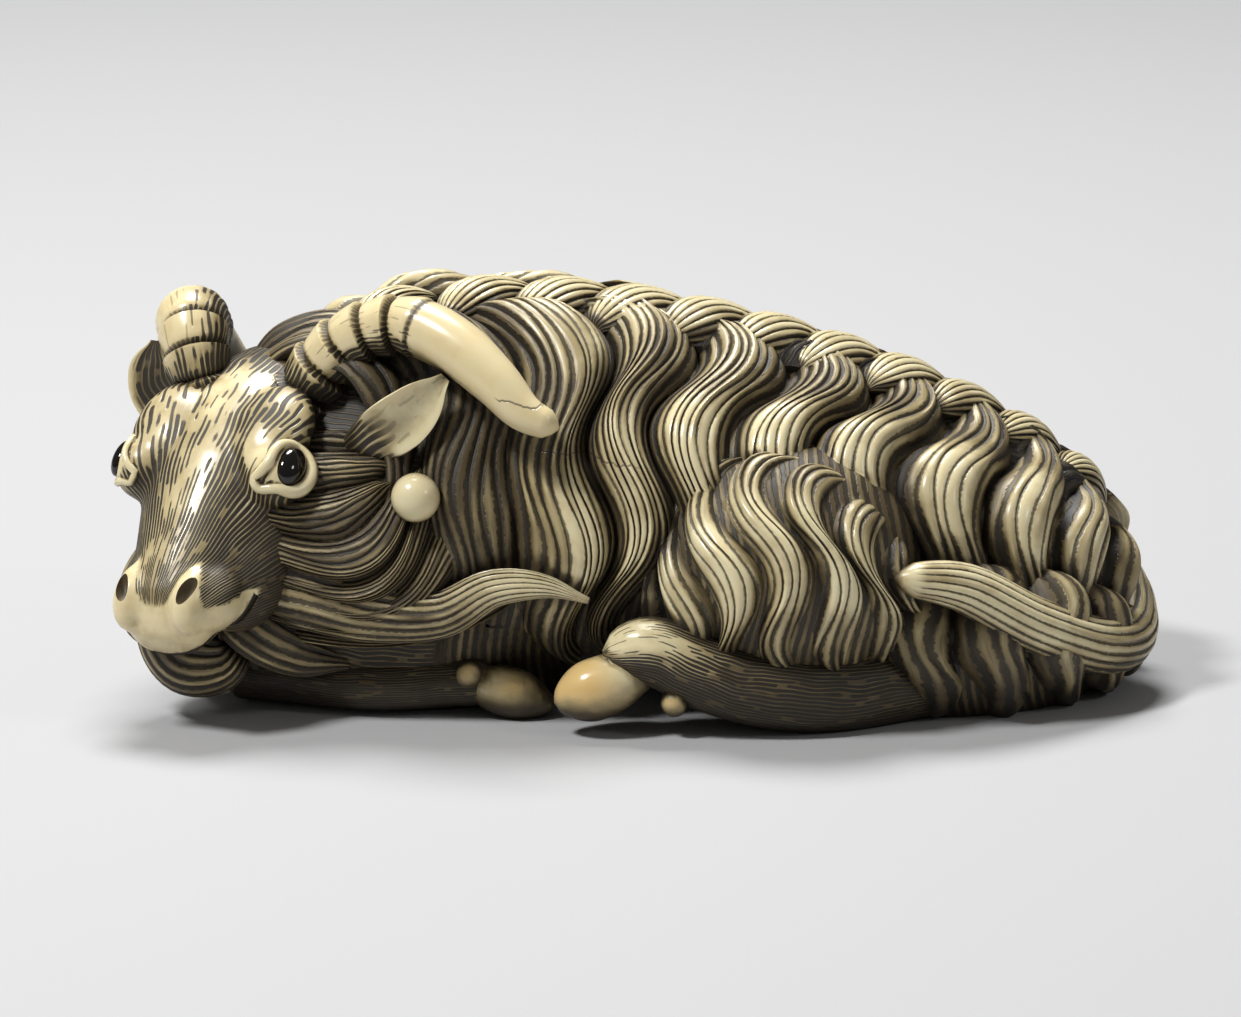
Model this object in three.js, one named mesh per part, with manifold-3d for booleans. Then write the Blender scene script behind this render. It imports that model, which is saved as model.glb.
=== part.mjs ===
// A netsuke: a long-haired goat lying down, carved in the round from one piece of ivory, with inlaid eyes.
// Millimetres. +Z is up and z = 0 is what it lies on. +X runs from its breast to its rump, and -Y is its left
// flank, the side that its head turns to. The coat is locks of hair, each one walked over the body's surface.
import * as THREE from "three";
import { mergeVertices } from "three/addons/utils/BufferGeometryUtils.js";
import Module from "manifold-3d";

const wasm = await Module();
wasm.setup();

const RAD = THREE.MathUtils.degToRad;
const v3 = (p) => new THREE.Vector3(...p);

// ---- Driving dimensions ----------------------------------------------------------------------------------

// The trunk is a long egg. Its axis falls towards the rump, and so does its back line.
const TRUNK = {
  middle: 2.2,
  reach: 24.0,
  axis: 8,
  axisFall: 0.105,
  back: 11.4,
  backFall: 0.075,
  half: 9.6,
  aside: 1.0,
};
const BELLY = 0.9; // how high the belly hangs over the ground, between the legs
// The masses set into it are eggs too: centre, reach along x, half width along y, rise along z.
const THIGH = { centre: [8.4, -6.6, 7.4], reach: 6.9, half: 5.9, rise: 6.6 };
const FAR_THIGH = { centre: [8.2, 7.2, 7.0], reach: 7.2, half: 4.9, rise: 6.8 };
const SEAT = { centre: [16.3, 0.6, 3.2], reach: 10.0, half: 9.8, rise: 6.2 };
const THROAT = { centre: [-12.8, -3.8, 7.8], reach: 9.0, half: 5.6, rise: 6.6 };
const NAPE = { centre: [-14.6, 1.0, 11.4], reach: 6.0, half: 6.2, rise: 7.2 };
const BREAST = { centre: [-11.2, 0.7, 3.6], reach: 10.6, half: 8.6, rise: 6.6 };

// The head has a frame of its own from between the horns: a down the face, l to the goat's left, n outward.
const HEAD = { poll: [-18.5, -1, 16.6], faceWay: [-4.9, -10.5, -8.9], leftWay: [0.9, -0.43, 0.1] };
const FACE = [
  // down the face, half width, brow over the axis, jaw under it
  [-3.2, 1.6, -1.4, 3.4],
  [-2.2, 3.4, -0.4, 5.2],
  [0, 4.4, 0.9, 6.0],
  [2.4, 4.8, 1.6, 6.3],
  [4.8, 4.9, 1.9, 6.5],
  [7.0, 4.5, 1.7, 6.4],
  [9.0, 3.6, 1.2, 6.1],
  [11.0, 2.95, 0.7, 5.5],
  [13.0, 2.75, 0.3, 4.9],
  [14.6, 2.6, -0.1, 4.4],
  [15.6, 2.1, -1.0, 4.0],
  [16.1, 1.3, -1.8, 3.5],
];
const EYE = { down: 6.9, across: 3.75, out: 0.15, tilt: 30, ball: 1.65 };
const PUPIL = { down: 0.95, across: 0.62, deep: 0.5, gap: 0.3, proud: 0.2 };
const NOSTRIL = { down: 13.7, across: 1.75, out: -0.5 };

// ---- Solids ----------------------------------------------------------------------------------------------

// A closed triangle mesh as a manifold-3d solid, turned inside in if its faces point inwards.
function solid(geometry) {
  const bare = geometry.clone();
  for (const name of Object.keys(bare.attributes)) if (name !== "position") bare.deleteAttribute(name);
  const merged = mergeVertices(bare, 1e-5);
  const triVerts = new Uint32Array(merged.index.array);
  const vertProperties = new Float32Array(merged.attributes.position.array);
  const made = new wasm.Manifold(new wasm.Mesh({ numProp: 3, vertProperties, triVerts }));
  if (made.volume() > 0) return made;
  for (let i = 0; i < triVerts.length; i += 3) {
    [triVerts[i + 1], triVerts[i + 2]] = [triVerts[i + 2], triVerts[i + 1]];
  }
  return new wasm.Manifold(new wasm.Mesh({ numProp: 3, vertProperties, triVerts }));
}

// The outer skin alone of a union, without edges shorter than the cut: locks that cross can shut a speck of
// air in between them.
function withoutSpecks(made, cut = 0.02) {
  const outer = made.decompose().reduce((most, body) => (body.volume() > most.volume() ? body : most));
  return outer.simplify(cut);
}

function geometryOf(made) {
  const mesh = made.getMesh();
  const geometry = new THREE.BufferGeometry();
  geometry.setAttribute("position", new THREE.BufferAttribute(mesh.vertProperties, 3));
  geometry.setIndex(new THREE.BufferAttribute(mesh.triVerts, 1));
  geometry.computeVertexNormals();
  return geometry;
}

// A skin over rings of points, each ring the same number of points. It closes in a fan at both ends, round
// the given tips or round the middle of the end ring.
function skin(rings, tips = [null, null]) {
  const sides = rings[0].length;
  const points = rings.flat();
  const index = [];
  for (let r = 0; r + 1 < rings.length; r++) {
    for (let k = 0; k < sides; k++) {
      const [a, b] = [r * sides + k, r * sides + ((k + 1) % sides)];
      index.push(a, b, b + sides, a, b + sides, a + sides);
    }
  }
  for (const [end, first, way] of [[0, 0, -1], [1, (rings.length - 1) * sides, 1]]) {
    const middle = new THREE.Vector3();
    for (let k = 0; k < sides; k++) middle.addScaledVector(points[first + k], 1 / sides);
    points.push(tips[end] ?? middle);
    for (let k = 0; k < sides; k++) {
      const [a, b] = [first + k, first + ((k + 1) % sides)];
      index.push(points.length - 1, way > 0 ? a : b, way > 0 ? b : a);
    }
  }
  return new THREE.BufferGeometry().setFromPoints(points).setIndex(index);
}

// A sphere whose points are moved: surface takes u from -90 to 90 degrees along x, and a full turn v.
function wrapped(surface, along, around) {
  const rings = [];
  for (let i = 1; i < along; i++) {
    const u = Math.PI * (i / along - 0.5);
    rings.push(Array.from({ length: around }, (_, k) => surface(u, (2 * Math.PI * k) / around)));
  }
  return skin(rings, [surface(-Math.PI / 2, 0), surface(Math.PI / 2, 0)]);
}

const evenly = (steps) => Array.from({ length: steps + 1 }, (_, i) => i / steps);

// A round limb along a smooth path. radius gives its half width at t from 0 to 1; flat squashes it along out.
function limb(path, radius, shape = {}) {
  const { steps = 12, stops = evenly(steps), sides = 7, flat = 1, out = [0, 0, 1] } = shape;
  const curve = new THREE.CatmullRomCurve3(path.map(v3));
  const rings = [];
  for (const t of stops) {
    const centre = curve.getPointAt(t);
    const way = curve.getTangentAt(t);
    const side = new THREE.Vector3().crossVectors(way, v3(out)).normalize();
    const lift = new THREE.Vector3().crossVectors(side, way);
    const ring = [];
    for (let k = 0; k < sides; k++) {
      const turn = (2 * Math.PI * k) / sides;
      const point = centre.clone().addScaledVector(side, Math.cos(turn) * radius(t));
      ring.push(point.addScaledVector(lift, Math.sin(turn) * radius(t) * flat));
    }
    rings.push(ring);
  }
  return skin(rings);
}

// A half width that runs through the given ones at even steps of t.
function through(...stops) {
  return (t) => {
    const at = Math.min(Math.max(t, 0), 1) * (stops.length - 1);
    const low = Math.min(Math.floor(at), stops.length - 2);
    return THREE.MathUtils.lerp(stops[low], stops[low + 1], at - low);
  };
}

function ellipsoid([x, y, z], [rx, ry, rz], sides = 12) {
  return new THREE.SphereGeometry(1, sides, Math.round(sides * 0.6)).scale(rx, ry, rz).translate(x, y, z);
}

// ---- Surfaces that hair grows on -------------------------------------------------------------------------

// Each takes u, from -90 degrees at the breast end to 90 at the rump end, and v, the turn from the back line
// down the left flank, and gives a point.
function trunk(u, v) {
  const x = TRUNK.middle + TRUNK.reach * Math.sin(u);
  const close = Math.max(Math.cos(u), 1e-6);
  const axis = TRUNK.axis - TRUNK.axisFall * x;
  const upper = Math.cos(v) > 0;
  const rise = upper ? (TRUNK.back - TRUNK.backFall * x) * close ** 0.8 : (axis - BELLY) * close ** 0.4;
  const power = upper ? 2.1 : 3.2;
  const across = Math.abs(Math.sin(v) / (TRUNK.half * close ** 0.7));
  const reach = (across ** power + Math.abs(Math.cos(v) / rise) ** power) ** (-1 / power);
  return new THREE.Vector3(x, TRUNK.aside - reach * Math.sin(v), axis + reach * Math.cos(v));
}
const eggOf = ({ centre: [x, y, z], reach, half, rise }) => (u, v) =>
  new THREE.Vector3(
    x + reach * Math.sin(u),
    y - half * Math.cos(u) * Math.sin(v),
    z + rise * Math.cos(u) * Math.cos(v),
  );
const thigh = eggOf(THIGH);
const farThigh = eggOf(FAR_THIGH);
const seat = eggOf(SEAT);
const throat = eggOf(THROAT);
const nape = eggOf(NAPE);
const breast = eggOf(BREAST);
const turnedOver = (surface) => (u, v) => surface(u, -v);

// Where a surface is at (u, v), which way is along it towards the rump, which way is down, and which is out.
function placeOn(surface, u, v) {
  const step = 1e-3;
  const at = surface(u, v);
  const du = surface(u + step, v).sub(surface(u - step, v)).divideScalar(2 * step);
  const dv = surface(u, v + step).sub(surface(u, v - step)).divideScalar(2 * step);
  const along = du.clone().normalize();
  const slide = dv.dot(along);
  const down = dv.addScaledVector(along, -slide);
  const out = new THREE.Vector3().crossVectors(down, along).normalize();
  const inside = surface(u, v + Math.PI).add(at).multiplyScalar(0.5);
  if (out.dot(at.clone().sub(inside)) < 0) out.negate();
  return { at, along, out, slide, perU: du.length(), perV: down.length(), down: down.normalize() };
}

// Walks over a surface by its own length, turning as heading says: 0 is towards the rump, 90 degrees is down.
function walk(surface, [u, v], length, heading, steps) {
  const places = [];
  const stride = length / steps;
  for (let i = 0; i <= steps; i++) {
    const place = placeOn(surface, u, v);
    const turn = RAD(heading((i + 0.5) * stride));
    const way = place.along.clone().multiplyScalar(Math.cos(turn));
    places.push({ ...place, way: way.addScaledVector(place.down, Math.sin(turn)), u, v });
    const dv = (Math.sin(turn) * stride) / place.perV;
    u += (Math.cos(turn) * stride - place.slide * dv) / place.perU;
    v += dv;
  }
  return places;
}

// A fleece is a sheet of locks side by side. Each lock's crest is a walk over the surface, the valleys run
// halfway between two crests, and the sheet's underside is sunk into the body.
const FLEECE = { sink: 1.6, valley: 0.08, underside: 3 };
function fleece(surface, locks, steps, rise, profile) {
  const crests = locks.map(({ start, length, heading }) => walk(surface, start, length, heading, steps));
  const last = crests.length - 1;
  const spot = (t, step, height) => {
    const k = Math.min(Math.floor(t), last - 1);
    const [a, b] = [crests[k][step], crests[k + 1][step]];
    const u = THREE.MathUtils.lerp(a.u, b.u, t - k);
    const v = THREE.MathUtils.lerp(a.v, b.v, t - k);
    const { at, out } = placeOn(surface, u, v);
    return at.addScaledVector(out, height);
  };
  const rings = [];
  for (let step = 0; step <= steps; step++) {
    const full = Math.min(1, step / 1.5 + 0.15, (steps - step) / 2 + 0.15);
    const raised = (height) => FLEECE.valley + (rise * height - FLEECE.valley) * full;
    const ring = [];
    for (let k = 0; k < last; k++) {
      for (const [share, height] of profile) ring.push(spot(k + share, step, raised(height)));
    }
    ring.push(spot(last, step, raised(profile[0][1])));
    for (let k = FLEECE.underside; k >= 0; k--) {
      ring.push(spot((k / FLEECE.underside) * last, step, -FLEECE.sink));
    }
    rings.push(ring);
  }
  return skin(rings);
}
// Across one lock to the next: share of the way, and height as a share of the rise.
const ROUND = [
  [0, 1],
  [0.25, 0.66],
  [0.5, 0],
  [0.75, 0.66],
];
const RIDGED = [
  [0, 1],
  [0.5, 0],
];

// A lock of hair: a rounded ridge that starts and ends in a point, sunk a little into what it lies on.
const LOCK = { sink: 0.9, tipSink: 0.25, headLength: 0.2, tailLength: 0.4, step: 2.5, dome: 3 };
function lock(surface, start, length, heading, width, height) {
  const steps = Math.max(4, Math.round(length / LOCK.step));
  const places = walk(surface, start, length, heading, steps);
  const tips = [places.shift(), places.pop()].map(({ at, out }) => at.addScaledVector(out, -LOCK.tipSink));
  const rings = places.map(({ at, out, way }, i) => {
    const t = (i + 1) / steps;
    const full = Math.min(1, (t / LOCK.headLength) ** 0.6, ((1 - t) / LOCK.tailLength) ** 0.7);
    const side = new THREE.Vector3().crossVectors(out, way);
    const ring = [];
    for (let k = 0; k <= LOCK.dome; k++) {
      const turn = (Math.PI * k) / LOCK.dome;
      const point = at.clone().addScaledVector(side, (Math.cos(turn) * width * full) / 2);
      ring.push(point.addScaledVector(out, Math.sin(turn) * height * full));
    }
    ring.push(at.clone().addScaledVector(out, -LOCK.sink * full));
    return ring;
  });
  return skin(rings, tips);
}

// How a wavy lock turns: about a mean, with a first sweep that dies away and then an even wave.
const wavy = ({ mean, sweep, fade, swing, wave, phase }) => (s) =>
  mean + sweep * Math.exp(-((s / fade) ** 2)) + swing * Math.sin((2 * Math.PI * (s - phase)) / wave);

const alongTrunk = (x) => Math.asin((x - TRUNK.middle) / TRUNK.reach);

// ---- The coat --------------------------------------------------------------------------------------------

// Flank locks start under the spine, sweep back towards the rump, and then fall in waves to the ground.
const FLANK = [
  // start along x, turn below the back line, length, where the wave starts, how far it swings
  [-19.0, 30, 14.0, 8.6, 16],
  [-13.2, 16, 20.5, 8.3, 26],
  [-7.9, 12, 23.5, 8.0, 30],
  [-1.6, 11, 23.0, 6.9, 34],
  [3.4, 12, 22.0, 5.4, 34],
  [8.5, 12, 21.0, 4.8, 38],
  [13.2, 12, 19.5, 5.2, 40],
  [17.2, 12, 18.0, 5.2, 32],
  [20.4, 16, 14.0, 3.4, 28],
  [22.8, 28, 10.5, 2.2, 24],
  [24.6, 50, 7.0, 1.6, 16],
];
const FLANK_WAVE = { mean: 86, sweep: -118, fade: 2.4, wave: 10.8 };
const FLANK_RISE = 1.15;
// Thigh locks start at its top, sweep forward, and fall over it in shorter waves.
const THIGH_LOCKS = [
  // start round the thigh and over it in degrees, length, where the wave starts, first sweep
  [-58, 14, 11.0, 8.8, 40],
  [-40, 6, 15.0, 8.8, 90],
  [-19, 10, 17.0, 8.8, 105],
  [2, 13, 17.0, 8.3, 90],
  [23, 20, 15.5, 7.8, 60],
  [42, 36, 12.5, 7.3, 30],
];
const THIGH_WAVE = { mean: 80, fade: 1.8, swing: 30, wave: 7.8 };
const THIGH_RISE = 0.95;
// The spine is a rope of short locks that each cross the back line and dive under the next.
const ROPE = {
  from: -13.2,
  to: 22.9,
  many: 11,
  turn: 13,
  length: 6.9,
  width: 3.0,
  rise: 2.0,
  heading: -33,
  curl: 14,
};

const flankFrom = (rise) =>
  FLANK.map(([x, turn, length, phase, swing]) => ({
    start: [alongTrunk(x), RAD(turn - rise)],
    length,
    heading: wavy({ ...FLANK_WAVE, phase, swing }),
  }));
const flank = flankFrom(0);
const farFlank = flankFrom(7);
const thighLocks = THIGH_LOCKS.map(([round, over, length, phase, sweep]) => ({
  start: [RAD(round), RAD(over)],
  length,
  heading: wavy({ ...THIGH_WAVE, phase, sweep }),
}));
const coat = [
  fleece(trunk, flank, 11, FLANK_RISE, ROUND),
  fleece(turnedOver(trunk), farFlank, 7, FLANK_RISE, RIDGED),
  fleece(thigh, thighLocks, 9, THIGH_RISE, ROUND),
  fleece(turnedOver(farThigh), thighLocks, 7, THIGH_RISE, RIDGED),
];
for (let k = 0; k <= ROPE.many; k++) {
  const share = k / ROPE.many;
  const x = THREE.MathUtils.lerp(ROPE.from, ROPE.to, share ** 0.92);
  const size = 1 - 0.35 * share ** 3 - 0.3 * (1 - share) ** 8;
  const heading = (s) => ROPE.heading + ROPE.curl * Math.cos((Math.PI * s) / ROPE.length);
  const start = [alongTrunk(x), RAD(ROPE.turn)];
  coat.push(lock(trunk, start, ROPE.length * size, heading, ROPE.width * size, ROPE.rise * size));
}

// ---- The head --------------------------------------------------------------------------------------------

const headFrame = (() => {
  const down = v3(HEAD.faceWay).normalize();
  const left = v3(HEAD.leftWay);
  left.addScaledVector(down, -left.dot(down)).normalize();
  const out = new THREE.Vector3().crossVectors(down, left);
  return new THREE.Matrix4().makeBasis(down, left, out).setPosition(...HEAD.poll);
})();
const onHead = (geometry) => geometry.applyMatrix4(headFrame);

function skull() {
  const sides = 12;
  const rings = FACE.map(([down, half, over, under]) => {
    const middle = (over - under) / 2;
    const rise = (over + under) / 2;
    return Array.from({ length: sides }, (_, k) => {
      const turn = (2 * Math.PI * k) / sides;
      return new THREE.Vector3(down, half * Math.cos(turn), middle + rise * Math.sin(turn));
    });
  });
  return onHead(skin(rings));
}

// An eye's own frame in the head: x down the face, y across the eye, z the way that it looks.
function eyeFrame(side) {
  const looks = new THREE.Vector3(0, side * Math.cos(RAD(EYE.tilt)), Math.sin(RAD(EYE.tilt)));
  const down = new THREE.Vector3(1, 0, 0);
  const across = new THREE.Vector3().crossVectors(looks, down);
  const frame = new THREE.Matrix4().makeBasis(down, across, looks);
  return frame.setPosition(EYE.down, side * EYE.across, EYE.out);
}
const inEye = (side, geometry) => onHead(geometry.applyMatrix4(eyeFrame(side)));
function pupil(side, grow) {
  const size = [PUPIL.down + grow, PUPIL.across + grow, PUPIL.deep + grow];
  return inEye(side, ellipsoid([0, 0, EYE.ball + PUPIL.proud - PUPIL.deep], size, 8));
}

const head = [skull()];
const cuts = [];
for (const side of [-1, 1]) {
  const { down, across, out } = NOSTRIL;
  const slot = ellipsoid([0, 0, 0], [0.85, 0.35, 0.9], 6).rotateZ(side * -0.3);
  head.push(
    onHead(ellipsoid([4.6, side * 2.9, 0.5], [3.0, 2.2, 1.5], 8)),
    onHead(ellipsoid([down, side * across * 0.8, out - 0.9], [2.0, 1.5, 1.5], 8)),
    inEye(side, ellipsoid([0, 0, 0], [EYE.ball * 1.05, EYE.ball, EYE.ball], 10)),
  );
  cuts.push(pupil(side, PUPIL.gap), onHead(slot.translate(down, side * (across + 0.1), out + 1)));
}
// The mouth runs round the muzzle from corner to corner.
const LIPS = [
  [12.4, 3.1, -2.7],
  [13.8, 2.7, -3.0],
  [15.4, 1.9, -3.0],
  [16.2, 0, -3.0],
];
const rightLips = LIPS.slice(0, -1).map(([a, l, n]) => [a, -l, n]);
cuts.push(onHead(limb([...LIPS, ...rightLips.reverse()], () => 0.22, { steps: 8, sides: 4 })));

// ---- Horns, ears, beard, wattle --------------------------------------------------------------------------

// A horn is ringed for the lower part of its length, each ring flaring to its upper edge, then smooth.
const HORN = { rings: 6, ringed: 0.5, flare: 0.07, smoothSteps: 5, notch: 0.08 };
const hornStops = [];
for (let k = 0; k < HORN.rings; k++) hornStops.push(k + HORN.notch, k + 1 - HORN.notch);
for (let k = 0; k < hornStops.length; k++) hornStops[k] *= HORN.ringed / HORN.rings;
hornStops.unshift(0);
for (let k = 1; k <= HORN.smoothSteps; k++) {
  hornStops.push(THREE.MathUtils.lerp(HORN.ringed, 1, k / HORN.smoothSteps));
}
const ringed = (radius) => (t) => {
  if (t >= HORN.ringed) return radius(t);
  const share = ((t / HORN.ringed) * HORN.rings) % 1;
  return radius(t) * (1 + HORN.flare * (2 * share - 1));
};
const LEFT_HORN = [
  [-16.4, -2.6, 15.0],
  [-15.1, -3.2, 17.3],
  [-13.4, -3.9, 19.2],
  [-10.9, -4.9, 20.1],
  [-8.4, -6.6, 19.3],
  [-6.0, -8.4, 17.5],
  [-3.4, -9.6, 15.4],
];
const RIGHT_HORN = [
  [-21.0, -1.2, 14.8],
  [-21.7, -0.4, 17.0],
  [-22.0, 1.2, 18.4],
  [-22.1, 3.4, 18.2],
  [-21.6, 5.7, 16.6],
  [-20.0, 7.6, 14.2],
  [-17.2, 8.7, 12.2],
];
const leftWidths = ringed(through(1.75, 1.65, 1.5, 1.5, 1.5, 1.25, 0.5));
const rightWidths = ringed(through(1.6, 1.7, 1.85, 1.75, 1.5, 1.2, 0.5));
head.push(
  limb(LEFT_HORN, leftWidths, { stops: hornStops, sides: 6 }),
  limb(RIGHT_HORN, rightWidths, { stops: hornStops, sides: 6, out: [-1, 0, 0] }),
);
// Each ear is a leaf with a hollow: the path from its root to its tip, and the way that its hollow faces.
const EARS = [
  {
    path: [
      [-15.0, -5.0, 12.9],
      [-13.0, -6.2, 13.9],
      [-11.0, -7.2, 15.2],
      [-8.6, -6.9, 16.8],
    ],
    faces: [0.05, -0.9, 0.15],
  },
  {
    path: [
      [-22.4, 0.4, 13.0],
      [-23.8, 0.9, 14.6],
      [-24.4, 1.6, 16.2],
      [-24.3, 2.2, 17.6],
    ],
    faces: [-0.7, -0.7, 0.1],
  },
];
const HOLLOW = 1.1; // how far in front of the leaf its hollow's own middle lies
for (const { path, faces } of EARS) {
  const ahead = v3(faces).setLength(HOLLOW).toArray();
  const inner = path.slice(1).map((point) => point.map((value, k) => value + ahead[k]));
  head.push(limb(path, through(0.9, 1.3, 1.65, 1.3, 0.15), { steps: 6, flat: 0.6, out: faces }));
  cuts.push(limb(inner, through(0.1, 1.1, 1.2, 0.75, 0.05), { steps: 4, sides: 6, flat: 0.6, out: faces }));
}
const WATTLE = { at: [-10.07, -8.2, 11.1], radius: 1.25 };
head.push(ellipsoid(WATTLE.at, [WATTLE.radius, WATTLE.radius, WATTLE.radius], 10));
// The throat's hair curls under the wattle, and one long lock runs back from the cheek over the breast.
const CURL = { reach: 2.9, from: 200, to: 375, wide: 1.15 };
const curlPath = evenly(5).map((share) => {
  const turn = RAD(THREE.MathUtils.lerp(CURL.from, CURL.to, share));
  const [x, y, z] = WATTLE.at;
  return [x + CURL.wide * CURL.reach * Math.cos(turn), y + 0.3, z - 0.3 + CURL.reach * Math.sin(turn)];
});
const CHEEK_LOCK = [
  [-19.0, -7.4, 7.0],
  [-16.0, -8.6, 6.7],
  [-12.6, -8.9, 5.8],
  [-9.1, -9.3, 5.8],
  [-6.4, -9.8, 7.3],
  [-3.8, -10.2, 7.5],
  [-1.6, -10.4, 6.8],
];
const cheekWidths = through(1.6, 1.9, 1.6, 1.3, 1.1, 0.8, 0.1);
head.push(
  limb(curlPath, through(0.2, 0.7, 0.9, 0.8, 0.15), { steps: 9, sides: 5 }),
  limb(CHEEK_LOCK, cheekWidths, { steps: 10, sides: 6, flat: 0.55, out: [0, -1, 0] }),
);
const BEARD = { centre: [-21.6, -7.0, 3.6], reach: 2.6, half: 2.4, rise: 2.9 };
const beard = eggOf(BEARD);
head.push(wrapped(beard, 8, 10));
for (const round of [-44, -6, 32]) {
  coat.push(lock(beard, [RAD(round), RAD(40)], 4.4, (s) => 62 + 14 * s, 1.2, 0.4));
}

// ---- Legs and tail ---------------------------------------------------------------------------------------

// The left legs. The right ones are the same, on the other side of the trunk's middle.
const HIND_LEG = [
  [16.4, -6.6, 1.8],
  [9, -10.0, 2.0],
  [3.5, -10.6, 2.7],
  [0.6, -10.7, 3.2],
];
const HIND_HOOF = [
  [1.0, -10.7, 3.2],
  [-1.0, -11.0, 2.2],
  [-3.1, -11.2, 1.4],
];
const FORE_LEG = [
  [-19.4, -4.4, 1.6],
  [-13, -6.9, 1.5],
  [-8, -7.0, 1.7],
  [-6.0, -7.3, 1.8],
];
const FORE_HOOF = [
  [-6.4, -7.3, 1.9],
  [-5.2, -7.5, 1.4],
  [-3.4, -7.8, 0.7],
];
const DEWCLAWS = [
  [2.5, -11.6, 1.4],
  [-7.7, -8.0, 2.5],
];
const across = ([x, y, z]) => [x, 0.6 - y, z];
const limbs = [];
for (const put of [(point) => point, across]) {
  limbs.push(
    limb(HIND_LEG.map(put), through(1.9, 2.1, 2.1, 1.7), { steps: 6 }),
    limb(HIND_HOOF.map(put), through(1.7, 1.7, 0.8), { steps: 4 }),
    limb(FORE_LEG.map(put), through(1.5, 1.3, 1.3, 1.2), { steps: 5 }),
    limb(FORE_HOOF.map(put), through(1.2, 1.2, 0.5), { steps: 4 }),
    ...DEWCLAWS.map((place) => ellipsoid(put(place), [0.6, 0.6, 0.7], 6)),
  );
}
// The tail leaves the rump low down and lies forward along it, up to the thigh.
const TAIL = [
  [25.6, 1.8, 6.4],
  [26.5, 0.2, 4.6],
  [26.4, -2.6, 3.1],
  [24.6, -5.5, 3.2],
  [21.0, -8.2, 5.0],
  [17.1, -9.8, 7.4],
  [13.7, -11.0, 8.1],
];
limbs.push(limb(TAIL, through(1.0, 1.5, 1.55, 1.45, 1.4, 1.3, 0.4)));

// ---- The goat --------------------------------------------------------------------------------------------

// Two holes in the belly, joined inside, take the cord that the netsuke hangs from.
const CORD = { from: 0.2, to: 5.8, y: 0.6, wide: 1.7, narrow: 1.5, bend: 2.2, deep: 4.2 };
const cordWay = [
  [CORD.from, CORD.y, -1],
  [CORD.from, CORD.y, CORD.bend],
  [(CORD.from + CORD.to) / 2, CORD.y, CORD.deep],
  [CORD.to, CORD.y, CORD.bend],
  [CORD.to, CORD.y, -1],
];
const cordWidths = through(CORD.wide, CORD.wide, CORD.narrow, CORD.narrow);
cuts.push(limb(cordWay, cordWidths, { steps: 8, sides: 8, out: [0, 1, 0] }));

const core = (u, v) => {
  const { at, out } = placeOn(trunk, u, v);
  return at.addScaledVector(out, -FLEECE.sink * 0.35);
};
const masses = [
  wrapped(core, 10, 12),
  wrapped(thigh, 8, 10),
  wrapped(farThigh, 6, 9),
  wrapped(seat, 8, 12),
  wrapped(throat, 8, 10),
  wrapped(nape, 6, 9),
  wrapped(breast, 7, 12),
];
const ground = new THREE.BoxGeometry(200, 200, 40).translate(0, 0, -20);
const carved = wasm.Manifold.union([...masses, ...head, ...limbs, ...coat].map(solid))
  .subtract(wasm.Manifold.union(cuts.map(solid)))
  .subtract(solid(ground));

const ivory = new THREE.MeshStandardMaterial({ color: 0xe4d9b4, roughness: 0.35, metalness: 0 });
const horn = new THREE.MeshStandardMaterial({ color: 0x0c0a09, roughness: 0.12, metalness: 0 });
const netsuke = new THREE.Group();
function add(name, geometry, material) {
  const mesh = new THREE.Mesh(geometry, material);
  mesh.name = name;
  netsuke.add(mesh);
}
add("goat", geometryOf(withoutSpecks(carved)), ivory);
add("eye_left", geometryOf(solid(pupil(1, 0))), horn);
add("eye_right", geometryOf(solid(pupil(-1, 0))), horn);

// The origin is under the middle of its bounding box, on the ground.
const bounds = new THREE.Box3().setFromObject(netsuke);
const middle = bounds.getCenter(new THREE.Vector3());
netsuke.position.set(-middle.x, -middle.y, -bounds.min.z);

export default netsuke;
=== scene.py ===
"""A netsuke: a long-haired goat lying down, carved in the round from one piece of ivory, with inlaid eyes.

Shapes are worked out in millimetres in the carving's own frame: +Z is up, z = 0 is what it lies on, +X runs
from its breast to its rump, and -Y is its left flank, the side that its head turns to.
"""

import math

import bpy
import numpy as np
from bpy.props import FloatProperty, FloatVectorProperty, PointerProperty
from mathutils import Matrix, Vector
from mathutils.bvhtree import BVHTree


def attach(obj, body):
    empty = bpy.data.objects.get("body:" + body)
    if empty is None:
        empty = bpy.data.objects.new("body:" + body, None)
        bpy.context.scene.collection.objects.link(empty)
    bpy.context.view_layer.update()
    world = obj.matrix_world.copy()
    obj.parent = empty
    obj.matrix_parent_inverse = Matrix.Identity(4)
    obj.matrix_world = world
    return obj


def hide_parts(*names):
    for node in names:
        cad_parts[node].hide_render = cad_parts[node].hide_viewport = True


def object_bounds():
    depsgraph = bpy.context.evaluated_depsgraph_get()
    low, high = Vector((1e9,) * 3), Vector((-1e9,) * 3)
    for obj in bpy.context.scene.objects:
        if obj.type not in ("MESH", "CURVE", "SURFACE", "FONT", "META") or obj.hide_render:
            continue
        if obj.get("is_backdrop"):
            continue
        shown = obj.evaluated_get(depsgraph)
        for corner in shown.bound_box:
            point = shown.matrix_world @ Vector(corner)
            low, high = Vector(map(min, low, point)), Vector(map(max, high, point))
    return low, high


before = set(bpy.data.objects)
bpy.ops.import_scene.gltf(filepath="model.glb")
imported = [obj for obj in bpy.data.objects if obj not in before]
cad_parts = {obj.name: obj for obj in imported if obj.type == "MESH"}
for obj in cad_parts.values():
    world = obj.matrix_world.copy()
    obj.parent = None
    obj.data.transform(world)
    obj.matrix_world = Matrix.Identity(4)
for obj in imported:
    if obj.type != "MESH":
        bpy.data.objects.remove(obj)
CAD_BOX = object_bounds()

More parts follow.
